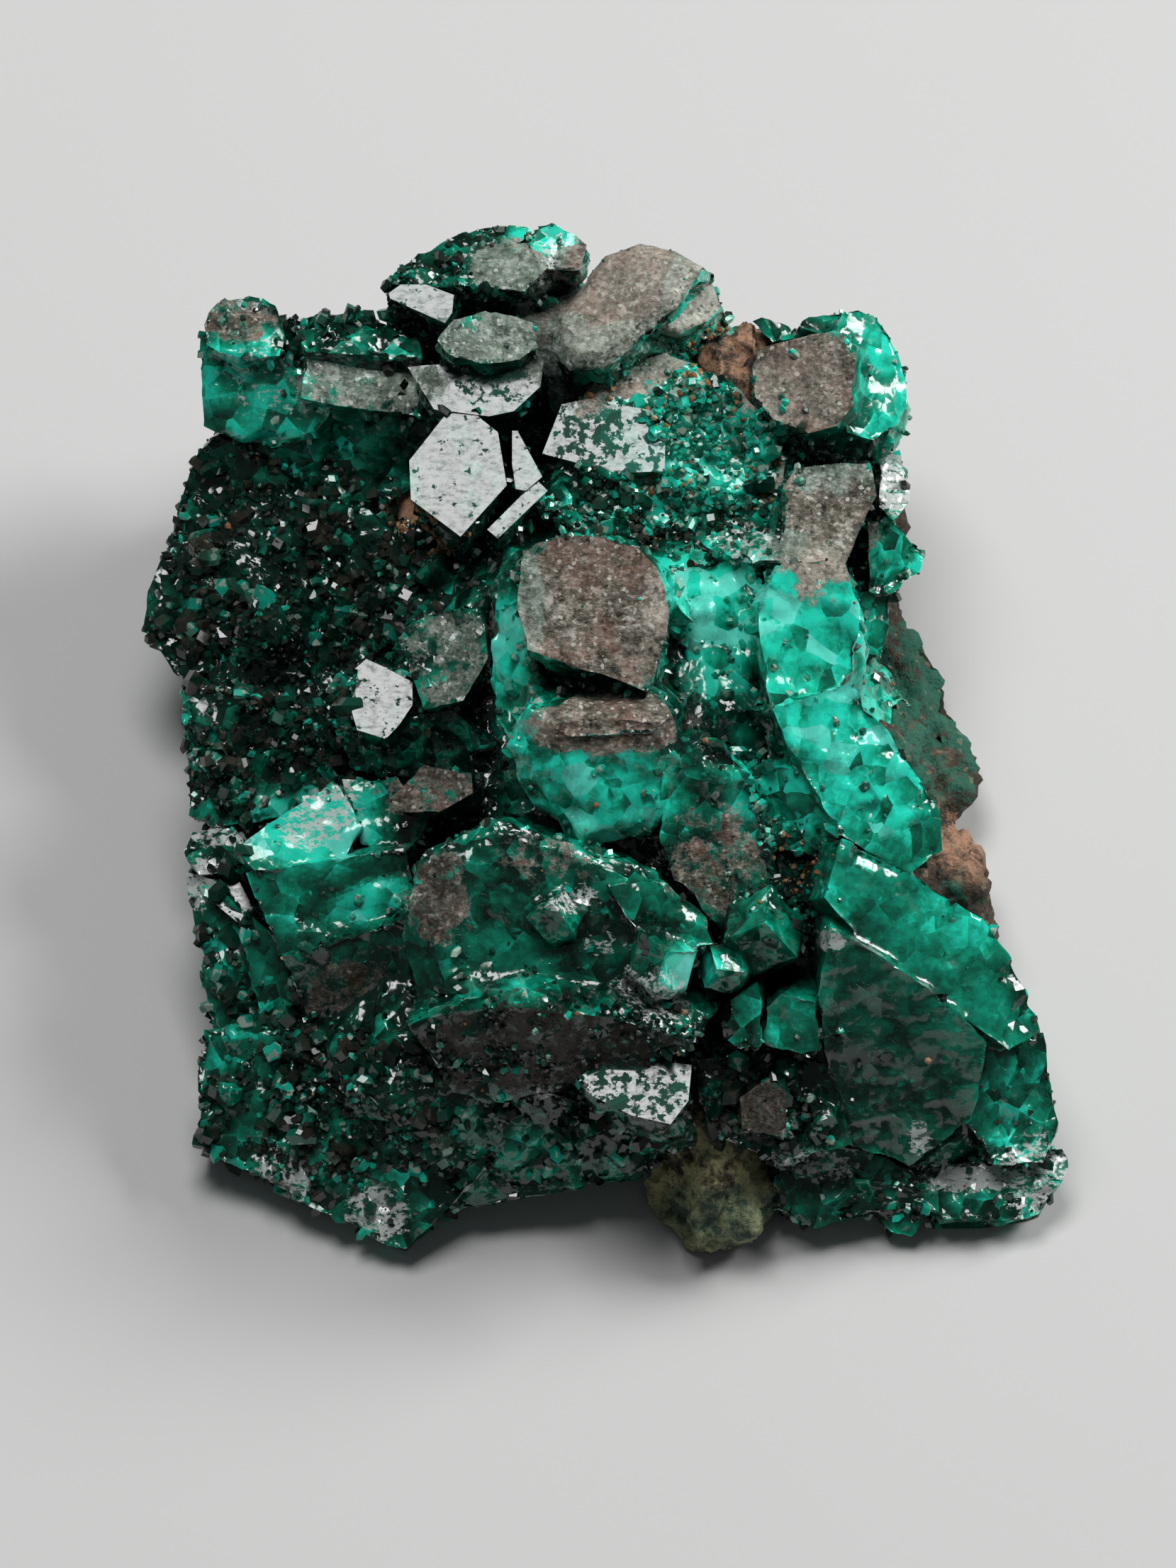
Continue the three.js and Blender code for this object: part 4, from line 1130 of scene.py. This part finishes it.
@dataclass
class Scatter:
    """Many small things standing on a surface, joined in one mesh."""

    name: str
    count: int
    widths: tuple[float, float]
    lengths: tuple[float, float]
    sunk: float
    jitter: float
    patches: tuple[Patch, ...]
    elsewhere: float
    seed: int
    on_skin: float = 0.0
    on_mirror: float = 0.0
    crevices: float = 0.0
    clumping: float = 0.0
    clump_size: float = 2.6
    rarity: float = 3.0
    # how far a copy's tone follows the painted light and shade of its face
    tone_follows_painted_light: float = 0.0

    def build(
        self, sheet: Sheet, ground: bpy.types.Object, shape: tuple[np.ndarray, list[tuple[int, ...]]]
    ) -> bpy.types.Object:
        """Scatters copies of a shape over a ground.

        Args:
            sheet: The sheet that the patches are placed on.
            ground: The surface, with its masks stored on its mesh.
            shape: The shape's points, in widths, and its faces.

        Returns:
            The joined copies.
        """
        draw = np.random.default_rng(self.seed)
        mesh = ground.data
        corners, middles, normals = Bench.faces(mesh)
        points = Bench.points(mesh)
        weights, painted_light = self._weights(sheet, mesh, corners, middles, normals, points)
        picked = draw.choice(len(weights), self.count, p=weights / weights.sum())
        shares = draw.dirichlet((1.0, 1.0, 1.0), self.count)
        feet = (points[corners[picked]] * shares[:, :, None]).sum(axis=1)
        axes = normals[picked] + self.jitter * draw.normal(size=(self.count, 3))
        axes /= np.linalg.norm(axes, axis=1, keepdims=True)
        sides = np.cross(axes, draw.normal(size=(self.count, 3)))
        sides /= np.linalg.norm(sides, axis=1, keepdims=True)
        frames = np.stack([sides, np.cross(axes, sides), axes], axis=2)
        low, high = self.widths
        width = low + (high - low) * draw.random(self.count) ** 2.2
        length = width * (self.lengths[0] + (self.lengths[1] - self.lengths[0]) * draw.random(self.count))
        sizes = np.stack([width, width, length], axis=1) * MM
        base, faces = shape
        local = base[None, :, :] * sizes[:, None, :]
        placed = np.einsum("nij,nkj->nki", frames, local) + (feet - axes * (self.sunk * width * MM)[:, None])[:, None, :]
        placed[:, :, 2] = np.maximum(placed[:, :, 2], 0.0)
        tone = draw.random(self.count) ** self.rarity
        # the tone is partly painted light and shade, taken from the face below
        tone = np.clip(tone + self.tone_follows_painted_light * painted_light[picked], 0.0, 1.0)
        return self._joined(placed, faces, tone)

    def _weights(
        self,
        sheet: Sheet,
        mesh: bpy.types.Mesh,
        corners: np.ndarray,
        middles: np.ndarray,
        normals: np.ndarray,
        points: np.ndarray,
    ) -> tuple[np.ndarray, np.ndarray]:
        """How likely a copy is to stand on each face, and the painted light and shade on the face."""
        values = {}
        for name in ("mirror", "skin", "painted_light", "calm"):
            values[name] = np.empty(len(middles), dtype=np.float32)
            mesh.attributes[name].data.foreach_get("value", values[name])
        exposure = np.empty(len(middles), dtype=np.int32)
        mesh.attributes["exposure"].data.foreach_get("value", exposure)
        relief = np.empty(len(points), dtype=np.float32)
        mesh.attributes["relief"].data.foreach_get("value", relief)
        sides = points[corners]
        area = np.linalg.norm(np.cross(sides[:, 1] - sides[:, 0], sides[:, 2] - sides[:, 0]), axis=1)
        density = painted(sheet, self.patches, sheet.spots(middles), normals) + self.elsewhere
        density = density * np.where(values["mirror"] > 0.5, self.on_mirror, 1.0)
        density = density * (1.0 - (1.0 - self.on_skin) * np.clip(values["skin"] * 1.6, 0.0, 1.0))
        density = density * (1.0 - 0.9 * np.clip(values["calm"] * 1.6, 0.0, 1.0))
        if self.clumping:
            lumps = np.array([noise.noise(Vector(middle) / (self.clump_size * MM)) for middle in middles])
            density = density * np.clip(1.0 + self.clumping * (lumps * 4.0 - 0.6), 0.03, 3.0)
        hollow = np.clip(-relief[corners].mean(axis=1), 0.0, 1.0)
        density = density * (1.0 - self.crevices + self.crevices * hollow)
        return area * density * (exposure != Exposure.BURIED.value), values["painted_light"]

    def _joined(self, placed: np.ndarray, faces: list[tuple[int, ...]], tone: np.ndarray) -> bpy.types.Object:
        """One object from every copy's points."""
        count, size = placed.shape[:2]
        ring = np.concatenate([np.array(face) for face in faces])
        totals = np.array([len(face) for face in faces])
        loops = (ring[None, :] + size * np.arange(count)[:, None]).ravel()
        lengths = np.tile(totals, count)
        mesh = bpy.data.meshes.new(self.name)
        mesh.vertices.add(count * size)
        mesh.vertices.foreach_set("co", placed.astype(np.float32).ravel())
        mesh.loops.add(len(loops))
        mesh.loops.foreach_set("vertex_index", loops.astype(np.int32))
        mesh.polygons.add(len(lengths))
        mesh.polygons.foreach_set("loop_start", np.concatenate([[0], np.cumsum(lengths)[:-1]]).astype(np.int32))
        mesh.update(calc_edges=True)
        mesh.validate()
        Bench.store(mesh, "tone", np.repeat(tone, size))
        obj = Bench.new(self.name, mesh)
        Bench.only(obj)
        bpy.ops.object.shade_flat()
        return obj


@dataclass
class HostRock:
    """The brown host rock under the crystals."""

    sheet: Sheet
    node: str = "host_rock"
    longest: tuple[float, float, float] = (5.0, 0.7, 0.4)
    bump_size: float = 2.4
    bump_height: float = 0.9
    olive_patches: tuple[Patch, ...] = (Patch((40.0, 66.5), (5.0, 5.5), 1.0),)
    copper_patches: tuple[Patch, ...] = (
        Patch((53.8, 47.4), (1.6, 2.6), 0.8, -30),
        Patch((40.8, 20.2), (2.6, 3.4), 0.9),
        Patch((24.2, 29.0), (2.4, 2.4), 0.8),
    )

    verdigris_patches: tuple[Patch, ...] = (
        Patch((52.6, 40.0), (3.4, 6.0), 1.0),
        Patch((40.6, 68.6), (4.0, 1.8), 1.5),
    )

    def build(self) -> bpy.types.Object:
        """Builds the piece.

        Returns:
            The rock, with its colours' places stored on its mesh.
        """
        obj = Bench.copy_solid(bpy.data.objects[self.node], "host_rock_lumps")
        Bench.mark_exposure(obj, self.sheet.outward)
        Bench.refine(obj, dict(zip(Exposure, self.longest)))
        mesh = obj.data
        moved = Bench.points(mesh)
        for vertex in mesh.vertices:
            point = vertex.co / (self.bump_size * MM)
            height = noise.fractal(point, 0.8, 2.1, 5) - 0.35 * abs(noise.noise(point * 2.7))
            lift = self.bump_height * height * MM * min(1.0, vertex.co.z / MM)
            moved[vertex.index] += np.array(vertex.normal) * lift
        moved[:, 2] = np.maximum(moved[:, 2], 0.0)
        mesh.vertices.foreach_set("co", moved.astype(np.float32).ravel())
        mesh.update()
        corners, middles, normals = Bench.faces(mesh)
        spots = self.sheet.spots(middles)
        places = {"olive": self.olive_patches, "copper": self.copper_patches, "verdigris": self.verdigris_patches}
        for name, patches in places.items():
            Bench.store(mesh, name, painted(self.sheet, patches, spots, normals), "FACE")
        Bench.only(obj)
        bpy.ops.object.shade_smooth_by_angle(angle=math.radians(40))
        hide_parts(self.node)
        return obj


@dataclass
class Studio:
    """The pale floor, the lights and the camera."""

    sheet: Sheet
    mirror_lean: tuple[float, float] = (21.0, -3.0)
    pixels: tuple[int, int] = (1659, 2212)
    pixels_per_mm: float = 25.0
    camera_distance: float = 2.0
    sensor: float = 36.0
    floor_size: float = 3.0
    key_distance: float = 0.6
    key_size: float = 0.26
    key_watts: float = 2.0
    side_way: tuple[float, float, float] = (0.72, 0.36, 0.62)
    side_distance: float = 0.75
    side_size: float = 0.3
    side_watts: float = 4.3
    sky_light: float = 0.08

    def build(self) -> None:
        """Sets the studio up."""
        self._floor()
        self._lights()
        self._camera()
        bpy.context.scene.view_settings.view_transform = "Standard"

    def _floor(self) -> None:
        """Lays the floor."""
        bpy.ops.object.select_all(action="DESELECT")
        bpy.ops.mesh.primitive_plane_add(size=self.floor_size)
        floor = bpy.context.object
        floor.name = "floor"
        floor.data.materials.append(FloorFinish().material())

    def _area(self, name: str, aim: Vector, distance: float, size: float, watts: float) -> None:
        """Hangs a soft square light.

        Args:
            name: The light's name.
            aim: The direction from the specimen to the light.
            distance: How far it hangs, in metres.
            size: Its side, in metres.
            watts: Its power.
        """
        bpy.ops.object.light_add(type="AREA", location=aim.normalized() * distance)
        light = bpy.context.object
        light.name = name
        light.data.size = size
        light.data.energy = watts
        light.rotation_euler = aim.to_track_quat("Z", "Y").to_euler()

    def _lights(self) -> None:
        """Hangs the key light where the mirror faces show it to the viewer, and a softer light on the right."""
        normal = self.sheet.facing(*self.mirror_lean)
        view = self.sheet.outward
        key = 2.0 * normal.dot(view) * normal - view
        self._area("key_light", key, self.key_distance, self.key_size, self.key_watts)
        self._area("side_light", Vector(self.side_way), self.side_distance, self.side_size, self.side_watts)
        world = bpy.data.worlds.new("studio")
        world.use_nodes = True
        background = world.node_tree.nodes["Background"]
        background.inputs["Color"].default_value = (0.75, 0.8, 0.85, 1.0)
        background.inputs["Strength"].default_value = self.sky_light
        bpy.context.scene.world = world

    def _camera(self) -> None:
        """Sets the camera up at the photograph's viewing angle."""
        middle = [side / 2 / self.pixels_per_mm for side in self.pixels]
        target = self.sheet.place(*middle, 10.0)
        height = self.pixels[1] / self.pixels_per_mm * MM
        bpy.ops.object.camera_add(location=target + self.sheet.outward * self.camera_distance)
        camera = bpy.context.object
        camera.name = "camera"
        camera.rotation_euler = self.sheet.outward.to_track_quat("Z", "Y").to_euler()
        camera.data.sensor_width = self.sensor
        camera.data.lens = self.sensor * self.camera_distance / height
        camera.data.clip_end = 20.0
        bpy.context.scene.camera = camera


COARSE_FIELDS = (
    Patch((33.5, 28.4), (4.0, 1.8), 0.5),
    Patch((15.5, 33.5), (7.6, 6.6), 0.9),
    Patch((14.6, 42.5), (5.2, 4.4), 0.9),
    Patch((18.0, 62.5), (7.8, 5.4), 1.0),
    Patch((30.0, 64.4), (6.5, 2.0), 0.8),
    Patch((44.0, 62.0), (4.2, 3.4), 0.8),
    Patch((20.2, 18.4), (4.2, 1.4), 0.5),
    Patch((12.6, 53.6), (2.6, 4.2), 0.7),
    Patch((40.0, 25.0), (5.0, 4.6), 0.3),
)
FINE_FIELDS = (
    Patch((39.4, 25.4), (6.4, 5.0), 2.4),
    Patch((33.5, 28.6), (4.6, 2.0), 2.0),
    Patch((15.5, 33.5), (7.6, 6.6), 0.4),
    Patch((14.6, 42.5), (5.2, 4.4), 0.6),
    Patch((18.0, 62.5), (7.8, 5.4), 0.5),
    Patch((44.0, 61.6), (4.2, 3.4), 0.9),
    Patch((43.6, 49.6), (2.6, 3.4), 1.2),
    Patch((29.6, 54.6), (5.0, 2.0), 0.7),
    Patch((25.0, 14.8), (4.2, 2.2), 1.2),
    Patch((31.0, 59.2), (7.6, 2.6), 3.0),
)
CRUMB_SPOTS = (
    Patch((41.0, 20.8), (2.2, 2.4), 1.0),
    Patch((38.6, 25.6), (6.0, 4.6), 0.35),
    Patch((24.2, 29.4), (2.4, 1.8), 1.0),
    Patch((44.6, 49.4), (1.8, 2.2), 0.45),
    Patch((46.6, 60.0), (1.8, 1.6), 0.7),
    Patch((52.6, 40.0), (2.4, 3.4), 0.6),
)


def main() -> None:
    """Builds the specimen and its studio."""
    logging.basicConfig(level=logging.INFO, format="%(message)s")
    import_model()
    sheet = Sheet()
    mass = CrystalMass(sheet).build()
    Bench.close(mass, DioptaseFinish().material(), Slot.DIOPTASE)
    rock = HostRock(sheet).build()
    Bench.close(rock, RockFinish().material(), Slot.ROCK)
    crystal = SeedCrystal().build()
    druse = DruseFinish().material()
    coarse = Scatter(
        "druse_coarse", 2100, (0.25, 1.15), (0.6, 1.5), 0.45, 0.55, COARSE_FIELDS, 0.0, 11, rarity=4.0,
        tone_follows_painted_light=0.4, clumping=1.0,
    )
    Bench.close(coarse.build(sheet, mass, crystal), druse, Slot.DIOPTASE)
    fine = Scatter(
        "druse_fine", 8600, (0.1, 0.5), (0.6, 1.6), 0.25, 0.6, FINE_FIELDS, 0.05, 12, 0.1, 0.0, 0.2,
        tone_follows_painted_light=0.4, clumping=0.8, clump_size=1.7,
    )
    Bench.close(fine.build(sheet, mass, crystal), druse, Slot.DIOPTASE)
    crevice = Scatter(
        "druse_crevice", 5200, (0.16, 0.7), (0.7, 1.6), 0.25, 0.6, (), 1.0, 14, 0.0, 0.0, 0.97, tone_follows_painted_light=0.4
    )
    Bench.close(crevice.build(sheet, mass, crystal), druse, Slot.DIOPTASE)
    crumbs = Scatter("crumbs", 1200, (0.12, 0.5), (0.6, 1.1), -0.1, 0.6, CRUMB_SPOTS, 0.003, 13, 0.5, 0.0, 0.6, 1.0)
    Bench.close(crumbs.build(sheet, mass, SeedGrain().build()), CrumbFinish().material(), Slot.ROCK)
    Studio(sheet).build()


if __name__ == "__main__":
    main()
